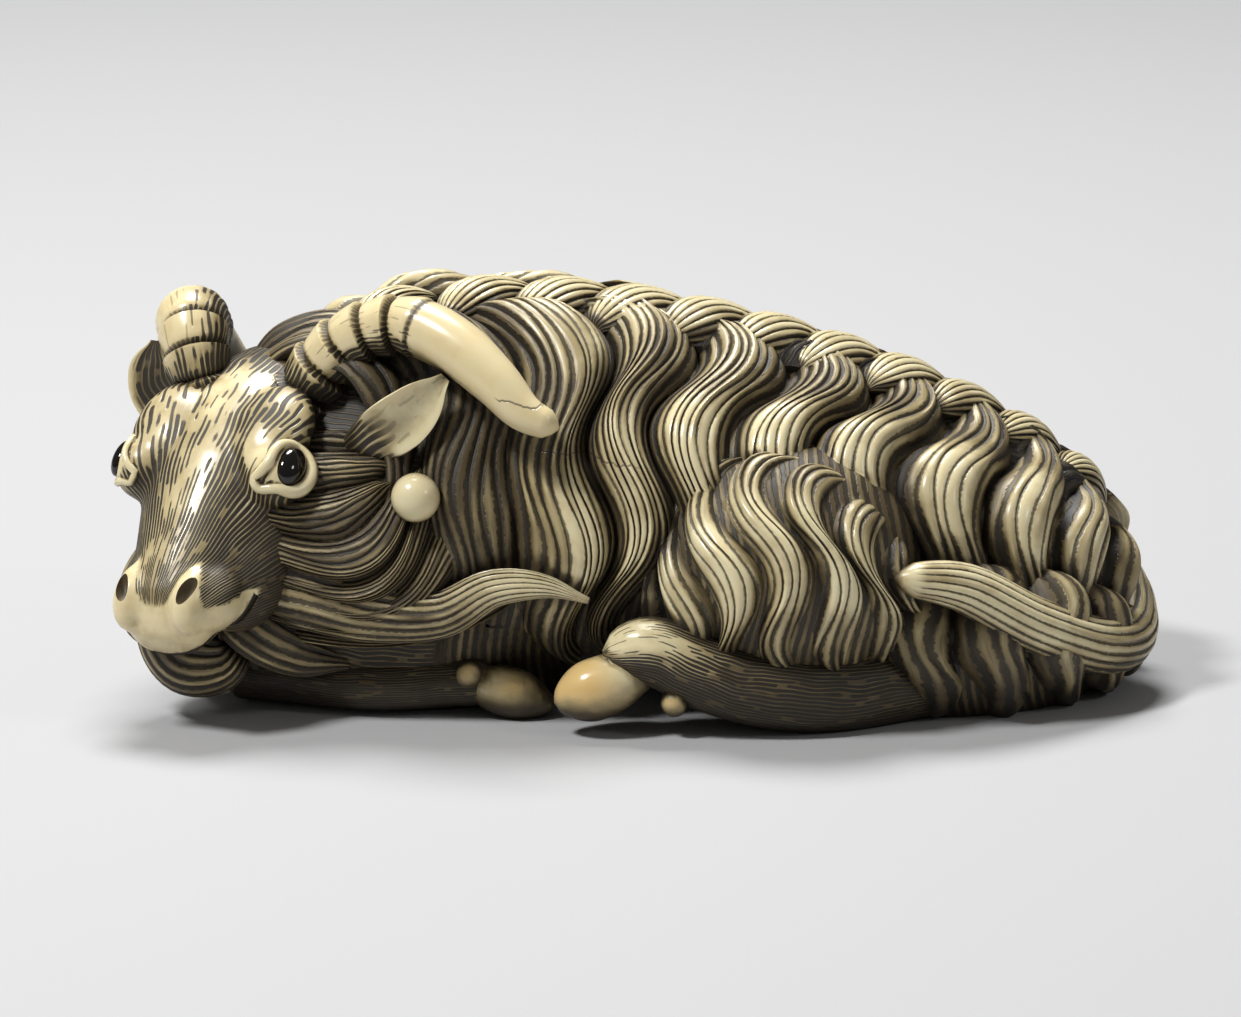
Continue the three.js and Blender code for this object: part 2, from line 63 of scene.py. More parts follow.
bl_info = {
    "name": "Goat netsuke",
    "version": (1, 0, 0),
    "blender": (4, 5, 0),
    "location": "View3D > Sidebar > Netsuke",
    "description": "Carves a long-haired goat in ivory, lock by lock, and lays it on a pale table",
    "category": "Add Mesh",
}

# ---- Driving dimensions ----

MM = 0.001
SHIFT = np.array([-1.0015, 0.0614, 0.0])  # from the carving's frame to the part's

TRUNK = dict(
    middle=2.2, reach=24.0, axis=8.0, fall=0.105, back=11.4, back_fall=0.075, half=9.6, aside=1.0,
    back_end=0.8, belly_end=0.4, flank_end=0.7, back_round=2.1, belly_round=3.2,
)  # an end closes the blunter the smaller it is, and a section is an ellipse where its round is 2
BELLY = 0.9
THIGH = dict(centre=(8.4, -6.6, 7.4), reach=6.9, half=5.9, rise=6.6)
FAR_THIGH = dict(centre=(8.2, 7.2, 7.0), reach=7.2, half=4.9, rise=6.8)
SEAT = dict(centre=(16.3, 0.6, 3.2), reach=10.0, half=9.8, rise=6.2)
THROAT = dict(centre=(-12.8, -3.8, 7.8), reach=9.0, half=5.6, rise=6.6)
NAPE = dict(centre=(-14.6, 1.0, 11.4), reach=6.0, half=6.2, rise=7.2)
BREAST = dict(centre=(-11.2, 0.7, 3.6), reach=10.6, half=8.6, rise=6.6)

# The head has a frame of its own from between the horns: down the face, to the goat's left, and outward.
POLL = np.array([-18.5, -1.0, 16.6])
FACE_WAY = np.array([-4.9, -10.5, -8.9])
LEFT_WAY = np.array([0.9, -0.43, 0.1])
FACE = np.array([
    # down the face, half width, brow over the axis, jaw under it
    [-3.2, 1.6, -1.4, 3.4],
    [-2.2, 3.4, -0.4, 5.2],
    [0, 4.4, 0.9, 6.0],
    [2.4, 4.8, 1.6, 6.3],
    [4.8, 4.9, 1.9, 6.5],
    [7.0, 4.5, 1.7, 6.4],
    [9.0, 4.0, 1.2, 6.1],
    [11.0, 3.4, 0.7, 5.5],
    [13.0, 2.85, 0.3, 4.9],
    [14.6, 2.6, -0.1, 4.4],
    [15.6, 2.1, -1.0, 4.0],
    [16.1, 1.3, -1.8, 3.5],
])
EYE = dict(down=6.9, across=3.85, aside=0.15, out=0.1, tilt=30.0, ball=1.65)
PUPIL = dict(down=1.08, across=0.76, deep=0.5, proud=0.2)
NOSTRIL = dict(down=14.6, across=1.8, out=-0.7)

# A strand's own section: where it is sampled across, and how deep it is cut there as a share of the cut.
STRAND = np.array([0.0, 0.2, 0.5, 0.8])
STRAND_CUT = np.array([1.0, 0.25, 0.0, 0.25])

# What a skin's finish says: how much of it is cut by tools, and whether as long strands or as short fur.
LONG, FUR = 0.0, 1.0

EASING = np.linspace(-0.36, 0.36, 5)  # where a run of values is averaged, in steps from one to the next
PEEK = 0.05  # how far before and behind a point its path's way is taken, in millimetres
KEEL = 14  # points across the hidden underside of a sheet of locks
SEED_STEP = 40  # strands that different pieces of hair lie apart, so that no two are cut alike


# ---- Sums on points ----


def unit(v):
    return v / np.maximum(np.linalg.norm(v, axis=-1, keepdims=True), 1e-12)


def dot(a, b):
    return np.sum(a * b, axis=-1)


def lerp(a, b, t):
    return a + (b - a) * t


def ramp(low, high, t):
    """0 below low, 1 above high, and a smooth step between."""
    share = np.clip((t - low) / (high - low), 0, 1)
    return share * share * (3 - 2 * share)


def spread(seed, shape):
    """Fixed numbers between 0 and 1 that look thrown."""
    return np.random.default_rng(seed).random(shape)


def near(value, middle, width):
    """1 where a value is at the middle, and dying away to both sides over the width."""
    return np.exp(-(((value - middle) / width) ** 2))


def gaps(points):
    """The length of each step from one point to the next."""
    return np.linalg.norm(np.diff(points, axis=0), axis=1)


def through(*stops):
    """A value that runs smoothly through the given ones at even steps of t."""
    knots = np.linspace(0, 1, len(stops))
    spans = EASING / (len(stops) - 1)
    return lambda t: sum(np.interp(np.clip(t + span, 0, 1), knots, stops) for span in spans) / len(EASING)


def smooth_path(points, t):
    """Points at t from 0 to 1 by length along a smooth path, and the ways that it runs there."""
    p = np.asarray(points, float)
    p = np.vstack([2 * p[0] - p[1], p, 2 * p[-1] - p[-2]])
    gap = np.maximum(gaps(p) ** 0.5, 1e-4)
    dense = []
    for i in range(1, len(p) - 2):
        a, b, c, d = p[i - 1 : i + 3]
        g0, g1, g2 = gap[i - 1 : i + 2]
        ta = ((b - a) / g0 - (c - a) / (g0 + g1) + (c - b) / g1) * g1
        tb = ((c - b) / g1 - (d - b) / (g1 + g2) + (d - c) / g2) * g1
        s = np.linspace(0, 1, 60, endpoint=i == len(p) - 3)[:, None]
        dense.append(b + ta * s + (3 * (c - b) - 2 * ta - tb) * s**2 + (2 * (b - c) + ta + tb) * s**3)
    dense = np.vstack(dense)
    run = np.concatenate([[0], np.cumsum(gaps(dense))])
    want = np.clip(t, 0, 1) * run[-1]
    behind, at, ahead = (
        np.stack([np.interp(want + aside, run, column) for column in dense.T], axis=-1)
        for aside in (-PEEK, 0.0, PEEK)
    )
    return at, unit(ahead - behind)


# ---- Surfaces that hair grows on ----


def trunk(u, v):
    """The trunk, from the breast to the rump by u, and round from the back by v."""
    x = TRUNK["middle"] + TRUNK["reach"] * np.sin(u)
    close = np.maximum(np.cos(u), 1e-6)
    axis = TRUNK["axis"] - TRUNK["fall"] * x
    upper = np.cos(v) > 0
    high = (TRUNK["back"] - TRUNK["back_fall"] * x) * close ** TRUNK["back_end"]
    low = (axis - BELLY) * close ** TRUNK["belly_end"]
    rise = np.where(upper, high, low)
    power = np.where(upper, TRUNK["back_round"], TRUNK["belly_round"])
    across = np.abs(np.sin(v) / (TRUNK["half"] * close ** TRUNK["flank_end"]))
    reach = (across**power + np.abs(np.cos(v) / rise) ** power) ** (-1 / power)
    return np.stack([x, TRUNK["aside"] - reach * np.sin(v), axis + reach * np.cos(v)], axis=-1)


def egg(centre, reach, half, rise):
    def surface(u, v):
        across = np.cos(u) * np.sin(v)
        up = np.cos(u) * np.cos(v)
        return np.stack([reach * np.sin(u), -half * across, rise * up], axis=-1) + np.asarray(centre)

    return surface


def turned_over(surface):
    return lambda u, v: surface(u, -v)


def place_on(surface, u, v):
    """Where a surface is at (u, v), the ways along it and down it, and the way out of it."""
    step = 1e-3
    at = surface(u, v)
    du = (surface(u + step, v) - surface(u - step, v)) / (2 * step)
    dv = (surface(u, v + step) - surface(u, v - step)) / (2 * step)
    along = unit(du)
    slide = dot(dv, along)
    down = dv - along * slide[..., None]
    out = unit(np.cross(down, along))
    inside = (surface(u, v + math.pi) + at) / 2
    out = out * np.where(dot(out, at - inside) < 0, -1.0, 1.0)[..., None]
    per_u = np.linalg.norm(du, axis=-1)
    per_v = np.linalg.norm(down, axis=-1)
    return at, along, unit(down), out, slide, per_u, per_v


def walk(surface, starts, lengths, heading, steps):
    """Walks over a surface from each start by its own length. heading(s) turns: 0 to the rump, 90 down."""
    u, v = np.array(starts, float).T
    stride = np.asarray(lengths, float) / steps
    us, vs = [u], [v]
    for i in range(steps):
        turn = np.radians(heading((i + 0.5) * stride))
        _, _, _, _, slide, per_u, per_v = place_on(surface, u, v)
        dv = np.sin(turn) * stride / per_v
        u = u + (np.cos(turn) * stride - slide * dv) / per_u
        v = v + dv
        us.append(u)
        vs.append(v)
    return np.array(us), np.array(vs)


# ---- Closed skins ----


class Skin:
    """A closed surface: points in millimetres, faces, and what is said of each face corner.

    said holds three pairs for a corner. Its strand: how many strands across it lies, and how many millimetres
    along them. Its cut: how much of it the tool has cut, and LONG or FUR. Its tone: how much stain it keeps,
    which in places stands for painted shade, and how warm the ivory is there. faces and said go by the number
    of corners that the faces have.
    """

    def __init__(self, points, faces, said):
        self.points = points
        self.faces = faces
        self.said = said
        if self.volume() < 0:
            self.faces = {n: f[:, ::-1] for n, f in faces.items()}
            self.said = {n: s[:, ::-1] for n, s in said.items()}

    def volume(self):
        total = 0.0
        for n, faces in self.faces.items():
            for i in range(1, n - 1):
                a, b, c = (self.points[faces[:, k]] for k in (0, i, i + 1))
                total += dot(a, np.cross(b, c)).sum() / 6
        return total


def net(rows, sides, bands):
    """The quads in the bands between rings: each one's ring, its place there, and its corners.

    With as many bands as rows, the last ring meets the first.
    """
    r, k = (grid.ravel() for grid in np.meshgrid(np.arange(bands), np.arange(sides), indexing="ij"))
    n, beyond = (k + 1) % sides, (r + 1) % rows
    corners = (r * sides + k, r * sides + n, beyond * sides + n, beyond * sides + k)
    return r, k, np.stack(corners, axis=-1)


def ring_points(centre, side, wide, lift, tall):
    """Rings round the points of a path: wide along its side, and tall along its lift."""
    return centre[:, None] + side[:, None] * wide[..., None] + lift[:, None] * tall[..., None]


def skin(rings, across=0.0, along=0.0, cut=0.0, style=LONG, stain=0.0, warm=0.0, tips=(None, None)):
    """A skin over rings of points, each ring closed on itself, and closed in a fan at both ends.

    What is said for each point may have one more entry than a ring has points, for the end of the ring.
    """
    rings = np.asarray(rings, float)
    rows, sides = rings.shape[:2]

    def full(value):
        value = np.asarray(value, float)
        if value.ndim and value.shape[-1] == sides:
            value = np.concatenate([value, value[..., :1]], axis=-1)
        return np.broadcast_to(value, (rows, sides + 1))

    said = np.stack([full(value) for value in (across, along, cut, style, stain, warm)], axis=-1)
    r, k, quads = net(rows, sides, rows - 1)
    quad_said = np.stack([said[r, k], said[r, k + 1], said[r + 1, k + 1], said[r + 1, k]], axis=1)
    points = [rings.reshape(-1, 3)]
    tris, tri_said = [], []
    k = np.arange(sides)
    for end, row in ((0, 0), (1, rows - 1)):
        tip = rings[row].mean(axis=0) if tips[end] is None else np.asarray(tips[end], float)
        points.append(tip[None])
        top = np.full(sides, rows * sides + end)
        a, b = row * sides + k, row * sides + (k + 1) % sides
        first, second = said[row, k], said[row, k + 1]
        middle = (first + second) / 2
        if end:
            a, b, first, second = b, a, second, first
        tris.append(np.stack([top, b, a], axis=-1))
        tri_said.append(np.stack([middle, second, first], axis=1))
    faces = {4: quads, 3: np.concatenate(tris)}
    return Skin(np.concatenate(points), faces, {4: quad_said, 3: np.concatenate(tri_said)})


def wrapped(surface, along, around, **said):
    """A skin over a surface that closes in a tip at both ends."""
    u = np.pi * (np.arange(1, along) / along - 0.5)
    v = 2 * np.pi * np.arange(around) / around
    rings = surface(*np.broadcast_arrays(u[:, None], v[None]))
    tips = [surface(np.array(end), np.array(0.0)) for end in (-np.pi / 2, np.pi / 2)]
    return skin(rings, tips=tips, **said)


def ball(centre, radii, along=24, around=32, **said):
    return wrapped(egg(centre, *radii), along, around, **said)


SAYS = ("strand", "cut", "tone")  # the names of the pairs said of each corner


def write_layers(mesh, said):
    """Writes what is said of each corner into the mesh, a layer for each pair."""
    for k, says in enumerate(SAYS):
        layer = mesh.uv_layers.new(name=says)
        layer.uv.foreach_set("vector", said[:, 2 * k : 2 * k + 2].astype(np.float32).ravel())


def mesh_of(made, name):
    """A Blender mesh of a skin, in metres in the part's frame."""
    corners = np.concatenate([faces.reshape(-1) for faces in made.faces.values()])
    sizes = np.concatenate([np.full(len(faces), n) for n, faces in made.faces.items()])
    mesh = bpy.data.meshes.new(name)
    mesh.vertices.add(len(made.points))
    mesh.vertices.foreach_set("co", ((made.points + SHIFT) * MM).astype(np.float32).ravel())
    mesh.loops.add(len(corners))
    mesh.loops.foreach_set("vertex_index", corners.astype(np.int32))
    mesh.polygons.add(len(sizes))
    mesh.polygons.foreach_set("loop_start", (np.cumsum(sizes) - sizes).astype(np.int32))
    mesh.update(calc_edges=True)
    write_layers(mesh, np.concatenate([made.said[n].reshape(-1, 6) for n in made.faces]))
    mesh.validate()
    return mesh


def body_of(made, name):
    """A Blender object of a skin."""
    thing = bpy.data.objects.new(name, mesh_of(made, name))
    bpy.context.scene.collection.objects.link(thing)
    return thing


def settle(thing):
    """Gives a thing the mesh that its modifiers make of it, and does away with them."""
    graph = bpy.context.evaluated_depsgraph_get()
    made = bpy.data.meshes.new_from_object(thing.evaluated_get(graph))
    thing.modifiers.clear()
    old, thing.data = thing.data, made
    bpy.data.meshes.remove(old)


def boolean(thing, other, operation):
    """Joins other to thing, or cuts it away, and does away with other."""
    cutter = thing.modifiers.new("join", "BOOLEAN")
    cutter.operation = operation
    cutter.object = other
    cutter.solver = "MANIFOLD"
    settle(thing)
    spent = other.data
    bpy.data.objects.remove(other)
    bpy.data.meshes.remove(spent)
    return thing


def join(things):
    """One solid of many, joined in pairs so that no join is bigger than it has to be."""
    things = list(things)
    while len(things) > 1:
        things.sort(key=lambda thing: len(thing.data.vertices))
        things.append(boolean(things.pop(1), things.pop(0), "UNION"))
    return things[0]


def blended(things, voxel, rounds, name):
    """One soft solid of many: joined, made over in small even faces, and smoothed so that they flow."""
    thing = join(things)
    grain = thing.modifiers.new("grain", "REMESH")
    grain.mode = "VOXEL"
    grain.voxel_size = voxel * MM
    soften = thing.modifiers.new("soften", "SMOOTH")
    soften.factor = 0.5
    soften.iterations = rounds
    settle(thing)
    thing.name = name
    return thing


def vectors_of(mesh, name):
    values = np.empty(len(mesh.vertices) * 3, np.float32)
    mesh.vertices.foreach_get(name, values)
    return values.reshape(-1, 3).astype(float)


def points_of(mesh):
    """The mesh's points in millimetres in the carving's frame."""
    return vectors_of(mesh, "co") / MM - SHIFT


def tree_of(mesh):
    """What rays are cast against, in millimetres in the carving's frame."""
    return BVHTree.FromPolygons(points_of(mesh).tolist(), [tuple(face.vertices) for face in mesh.polygons])


def say(mesh, across, along, cut, style, stain, warm):
    """Says what a mesh's corners are like, from values for its points."""
    ends = np.empty(len(mesh.loops), np.int32)
    mesh.loops.foreach_get("vertex_index", ends)
    shape = (len(mesh.vertices),)
    said = np.stack([np.broadcast_to(v, shape) for v in (across, along, cut, style, stain, warm)], axis=-1)
    while mesh.uv_layers:
        mesh.uv_layers.remove(mesh.uv_layers[0])
    write_layers(mesh, said[ends])


# ---- Hair ----


def strands(count):
    """Where count strands are sampled across, counted in strands, and how deep each sample is cut."""
    at = (np.arange(count)[:, None] + STRAND[None]).ravel()
    return np.append(at, count), np.append(np.tile(STRAND_CUT, count), STRAND_CUT[0])


def wavy(mean, sweep, fade, swing, wave, phase):
    """How a lock turns: about a mean, with a first sweep that dies away and then an even wave."""
    return lambda s: mean + sweep * near(s, 0, fade) + swing * np.sin(2 * np.pi * (s - phase) / wave)


def between(us, vs, t):
    """Where t lies between walks side by side. t counts them, with a row for each step or one for all."""
    k = np.clip(t.astype(int), 0, us.shape[1] - 2)
    row = np.arange(len(us))[:, None]
    return [lerp(walks[row, k], walks[row, k + 1], t - k) for walks in (us, vs)]


# What a sheet of locks is like where its look says nothing: the lengths over which it rises and runs out, how
# its crests swell in waves of a length and phase and take painted shade where they sink, its stain, and how
# far it is lifted.
SHEET = dict(head=2.0, tail=5.0, swell=0.0, shade=0.0, wave=10.0, phase=0.0, stain=0.0, lift=0.0)


def fleece(surface, starts, lengths, heading, rise, look):
    """A sheet of locks side by side, each cut into strands.

    Each lock's crest is a walk over the surface, and the valleys run halfway between two crests. look holds
    strands to a lock, steps along, the strand's cut, its wander, the valley's depth and the sheet's sink.
    """
    look = SHEET | look
    steps = look["steps"]
    us, vs = walk(surface, starts, lengths, heading, steps)
    last = us.shape[1] - 1
    locks = np.arange(last + 1)
    crest = np.concatenate([[0], np.cumsum(np.broadcast_to(look["strands"], last))])
    count, cuts = strands(crest[-1])
    s = np.linspace(0, 1, steps + 1)[:, None]

    # the valleys between strands wander, and the strands are not all as tall
    edge = np.arange(crest[-1] + 1)
    swing = spread(look["seed"], (3, len(edge)))
    wander = np.sin(2 * np.pi * (s * (2 + 2 * swing[0]) + swing[1])) * look["wander"]
    wander *= np.where((edge == 0) | (edge == edge[-1]), 0, 1)
    tall = (swing[2] - 0.5) * look["uneven"]
    shift = np.stack([np.interp(count, edge, row) for row in wander])
    t = np.interp(count + shift, crest, locks)

    # a lock is a dome from valley to valley, that rises at its head and runs out at its tail
    aside = np.abs((t + 0.5) % 1 - 0.5) * 2
    run = s * np.mean(lengths)
    left = (1 - s) * np.mean(lengths)
    head = ramp(0, look["head"], run) ** 0.6
    tail = ramp(0, look["tail"], left)
    dome = 1 - aside ** lerp(1.1, 2.4, tail)
    valley = look["valley"] + (1 - tail) * 0.9
    height = rise * dome * head * tail**0.5 - valley * (1 - dome) * head
    height = height + np.interp(count - 0.5, edge, tall)[None] * dome * tail
    phase = np.interp(t, locks, np.broadcast_to(look["phase"], last + 1))
    roll = np.sin(2 * np.pi * (run - phase) / look["wave"])
    height = height + look["swell"] * roll * head * tail
    trim = np.minimum(1, np.minimum(run, left) / 0.8)
    cut = look["cut"] * cuts[None] * trim * lerp(0.75, 1.15, aside)
    at, _, _, out, *_ = place_on(surface, *between(us, vs, t))
    top = at + out * (height - cut + look["lift"])[..., None]

    # under it the sheet is closed inside the body
    at, _, _, out, *_ = place_on(surface, *between(us, vs, np.linspace(last, 0, KEEL)))
    below = at - out * look["sink"]
    pad = np.zeros(below.shape[:2])
    # a lock's stain, which in places stands for painted shade, is darkened further as painted shade where the
    # waves sink
    stained = np.interp(t, locks, np.broadcast_to(look["stain"], last + 1))
    stained = lerp(stained, 1.0, look["shade"] * ramp(0.4, -1.0, roll))
    stained = np.concatenate([stained, pad + 1], axis=1)
    across = np.concatenate([np.broadcast_to(count, top.shape[:2]), pad], axis=1)
    deep = np.concatenate([aside, pad + 1], axis=1)
    return skin(
        np.concatenate([top, below], axis=1),
        across=across + SEED_STEP * look["seed"],
        along=run,
        cut=1.0,
        stain=lerp(stained, 1.0, ramp(0.45, 1.12, deep)),
    )


def lock(surface, start, length, heading, width, height, look):
    """A single lock: a ridge cut into strands, that starts and ends in a point and is sunk a little."""
    steps, many = look["steps"], look["strands"]
    us, vs = walk(surface, [start], [length], heading, steps)
    at, _, _, out, *_ = place_on(surface, us[:, 0], vs[:, 0])
    way = unit(np.gradient(at, axis=0))
    out = unit(out - way * dot(out, way)[:, None])
    side = np.cross(out, way)
    t = np.linspace(0, 1, steps + 1)[:, None]

    # it is fullest a little past its middle, and never quite nothing
    full = np.maximum(np.sin(np.pi * t**0.85) ** 0.7, 0.02)
    half = width / 2 * full
    count, cuts = strands(many)
    turn = np.pi * count / many
    reach = 1 - cuts * look["cut"] * np.minimum(1, full * 1.5) / height
    tall = np.sin(turn) ** 0.9 * (height * full) * reach
    top = ring_points(at, side, np.cos(turn) * half * reach, out, tall)
    keel = np.array([-0.6, -0.2, 0.2, 0.6])
    low = ring_points(at, side, keel * half, out, -look["sink"] * full)
    aside = np.append(np.abs(np.cos(turn)), np.ones(len(keel)))
    return skin(
        np.concatenate([top, low], axis=1)[1:-1],
        across=np.append(count, np.zeros(len(keel))) + SEED_STEP * look["seed"],
        along=(t * length)[1:-1],
        cut=1.0,
        stain=0.85 * ramp(0.45, 1.1, aside),
        tips=(at[0] - out[0] * 0.25, at[-1] - out[-1] * 0.25),
    )


# What a limb is like where its look says nothing. amount, stain and warm may also be sums on t and the turn.
LIMB = dict(cut=0.0, fine=1.0, style=LONG, amount=1.0, stain=0.0, warm=0.0)


def limb(path, radius, look, flat=1.0, facing=(0, 0, 1)):
    """A round limb along a smooth path, cut into strands all round. radius gives its half width at t."""
    look = LIMB | look
    many = look["strands"]
    t = look.get("stops", np.linspace(0, 1, look["steps"] + 1))[:, None]
    centre, way = smooth_path(path, t[:, 0])
    side = unit(np.cross(way, np.asarray(facing, float)))
    count, cuts = strands(many)
    turn = 2 * np.pi * count[:-1] / many
    said = (look[name] for name in ("amount", "stain", "warm"))
    amount, stain, warm = (value(t, turn) if callable(value) else value for value in said)
    wide = radius(t)
    reach = wide - look["cut"] * cuts[:-1] * amount * np.minimum(1, wide)
    return skin(
        ring_points(centre, side, np.cos(turn) * reach, np.cross(side, way), np.sin(turn) * reach * flat),
        across=count * look["fine"] + SEED_STEP * look["seed"],
        along=t * gaps(centre).sum(),
        cut=amount,
        style=look["style"],
        stain=stain,
        warm=warm,
    )


# ---- The coat ----

# Flank locks start under the spine, sweep back towards the rump, and then fall in waves to the ground.
FLANK = np.array([
    # start along x, turn below the back line, length, reach of the first sweep,
    # then where the wave starts, how long it is, its mean heading and how far it swings
    [-16.2, 36, 13.0, 3.2, 8.6, 9.6, 86, 16],
    [-12.8, 16, 20.5, 3.2, 8.0, 9.6, 86, 20],
    [-7.0, 13, 24.5, 3.1, 7.6, 9.6, 84, 26],
    [-2.0, 14, 24.5, 2.6, 5.4, 11.6, 88, 34],
    [3.9, 17, 22.5, 2.3, 4.2, 12.4, 95, 36],
    [8.6, 17, 20.5, 2.3, 4.1, 12.4, 97, 38],
    [12.4, 15, 19.5, 2.4, 4.4, 12.4, 98, 40],
    [16.2, 15, 19.0, 2.3, 4.4, 11.6, 94, 36],
    [19.5, 16, 16.5, 2.4, 3.8, 10.8, 90, 28],
    [22.1, 28, 12.5, 2.4, 2.4, 10.8, 88, 24],
    [23.9, 50, 9.0, 2.4, 1.6, 10.8, 86, 16],
])
FLANK_STRANDS = np.array([7, 10, 10, 10, 9, 8, 7, 6, 5, 5])
# Thigh locks start at its top, sweep forward, and fall over it in shorter waves.
THIGH_LOCKS = np.array([
    # start round the thigh and over it in degrees, length, where the wave starts, first sweep
    [-58, 14, 11.0, 8.8, 40],
    [-40, 6, 15.0, 8.8, 90],
    [-19, 10, 17.0, 8.8, 105],
    [2, 13, 17.0, 8.3, 90],
    [23, 20, 15.5, 7.8, 60],
    [42, 36, 13.0, 7.3, 30],
    [62, 48, 10.5, 6.6, 10],
])
THIGH_STRANDS = np.array([5, 6, 6, 6, 6, 6])
FLANK_RISE = dict(swell=0.35, shade=0.6, wave=10.8)
THIGH_RISE = dict(swell=0.25, shade=0.5, wave=8.8)
BACK_AND_DOWN = -30  # the heading in which a flank's locks leave the spine
ROPE = dict(
    first=-13.4, last=22.6, many=10, turn=17, length=7.8, width=4.1, rise=1.66, heading=-30, curl=-26,
    crowd=0.92, rump_end=0.35, nape_end=0.3,
)  # its locks lie closer to one end the further crowd is from 1, and are smaller at either end by a share

# Under the tail the rump's locks hang to the ground, and on the throat the hair curls round under the wattle.
RUMP_LOCKS = np.array([
    # start round the seat and over it in degrees, length, where the wave starts
    [-30, 40, 9.0, 1.0],
    [-12, 44, 9.5, 1.6],
    [8, 46, 9.5, 1.2],
    [28, 46, 9.0, 1.8],
    [48, 48, 8.0, 1.2],
    [68, 56, 6.0, 1.5],
])
THROAT_LOCKS = np.array([
    # start round the throat and over it in degrees, length, heading at first and at last, where it turns
    [-44, 2, 8.0, 14, 10, 5],
    [-46, 24, 8.5, 18, -5, 5],
    [-52, 46, 9.5, 22, -30, 5],
    [-62, 64, 15.5, 16, -72, 9],
    [-66, 79, 17.5, 12, -76, 10],
    [-66, 93, 18.5, 8, -66, 11],
    [-62, 108, 18.5, 4, -34, 12],
    [-55, 122, 17.0, 0, -10, 12],
])
NAPE_LOCKS = np.array([
    # start round the nape and over it in degrees, length
    [-58, -62, 9.0],
    [-60, -30, 9.0],
    [-52, 0, 9.5],
    [-42, 30, 9.0],
])


def along_trunk(x):
    return np.arcsin((x - TRUNK["middle"]) / TRUNK["reach"])


def starts_on(around, over):
    return np.radians(np.stack([around, over], axis=-1))


def rump(surface, look):
    around, over, lengths, phase = RUMP_LOCKS.T
    heading = wavy(mean=84, sweep=-40, fade=1.5, swing=24, wave=7.0, phase=phase)
    return fleece(surface, starts_on(around, over), lengths, heading, rise=1.0, look=look)


def throat_hair(surface, look):
    around, over, lengths, first, last, turns = THROAT_LOCKS.T
    half_turn = 3.5
    heading = lambda s: lerp(first, last, ramp(turns - half_turn, turns + half_turn, s))
    return fleece(surface, starts_on(around, over), lengths, heading, rise=0.5, look=look)


def mane(surface, look):
    around, over, lengths = NAPE_LOCKS.T
    heading = lambda s: -8 + 3.0 * s
    return fleece(surface, starts_on(around, over), lengths, heading, rise=0.7, look=look)


def flank(surface, turn, look):
    x, below, lengths, fade, phase, wave, mean, swing = FLANK.T
    starts = np.stack([along_trunk(x), np.radians(below - turn)], axis=-1)
    heading = wavy(mean, BACK_AND_DOWN - mean, fade, swing, wave, phase)
    look = look | FLANK_RISE | dict(phase=phase - 7.6)
    return fleece(surface, starts, lengths, heading, rise=1.15, look=look)


def haunch(surface, look):
    around, over, lengths, phase, sweep = THIGH_LOCKS.T
    heading = wavy(mean=80, sweep=0.9 * sweep, fade=1.8, swing=32, wave=THIGH_RISE["wave"], phase=phase + 0.4)
    look = look | THIGH_RISE | dict(phase=phase - 4.0)
    return fleece(surface, starts_on(around, over), lengths, heading, rise=0.95, look=look)


def spine():
    """The rope of hair along the spine: locks that each turn over it, smaller at both of its ends."""
    for k in range(ROPE["many"] + 1):
        share = k / ROPE["many"]
        x = lerp(ROPE["first"], ROPE["last"], share ** ROPE["crowd"])
        size = 1 - ROPE["rump_end"] * share**3 - ROPE["nape_end"] * (1 - share) ** 8
        heading = lambda s: ROPE["heading"] + ROPE["curl"] * np.cos(np.pi * s / ROPE["length"])
        look = dict(steps=26, strands=10, cut=0.13, sink=0.9, seed=20 + k)
        start = (along_trunk(x), math.radians(ROPE["turn"]))
        length, width, rise = (ROPE[name] * size for name in ("length", "width", "rise"))
        yield lock(trunk, start, length, heading, width, rise, look)


# ---- The head ----

DOWN = unit(FACE_WAY)
LEFT = unit(LEFT_WAY - DOWN * dot(LEFT_WAY, DOWN))
OUT = np.cross(DOWN, LEFT)
HEAD = np.stack([DOWN, LEFT, OUT])


def on_head(made):
    made.points = made.points @ HEAD + POLL
    return made


def in_head(points):
    return (points - POLL) @ HEAD.T


def eye_axes(side):
    """The eye's own axes in the head: down the face, across the eye, and the way that it looks."""
    tilt = math.radians(EYE["tilt"])
    looks = np.array([0, side * math.cos(tilt), math.sin(tilt)])
    down = np.array([1.0, 0, 0])
    return np.stack([down, np.cross(looks, down), looks])


def eye_place(side):
    return np.array([EYE["down"], side * EYE["across"] + EYE["aside"], EYE["out"]])


def in_eye(side, made):
    made.points = made.points @ eye_axes(side) + eye_place(side)
    return on_head(made)


def skull():
    at = np.linspace(0, len(FACE) - 1, 90)
    rows = np.stack([np.interp(at, np.arange(len(FACE)), column) for column in FACE.T], axis=-1)
    turn = 2 * np.pi * np.arange(96) / 96
    down, half, over, under = (rows[:, k, None] for k in range(4))
    middle, rise = (over - under) / 2, (over + under) / 2
    rings = np.stack([down + 0 * turn, half * np.cos(turn), middle + rise * np.sin(turn)], axis=-1)
    return on_head(skin(rings))


def closed_tube(points, radius, sides=10):
    """A plain tube round a closed path."""
    p = np.asarray(points, float)
    way = unit(np.roll(p, -1, axis=0) - np.roll(p, 1, axis=0))
    middle = p.mean(axis=0)
    side = unit(p - middle - way * dot(p - middle, way)[:, None])
    lift = np.cross(way, side)
    turn = (2 * np.pi * np.arange(sides) / sides)[:, None]
    radius = radius[:, None, None]
    ring = p[:, None] + side[:, None] * np.cos(turn) * radius + lift[:, None] * np.sin(turn) * radius
    _, _, quads = net(len(p), sides, len(p))
    return Skin(ring.reshape(-1, 3), {4: quads}, {4: np.zeros((len(quads), 4, 6))})


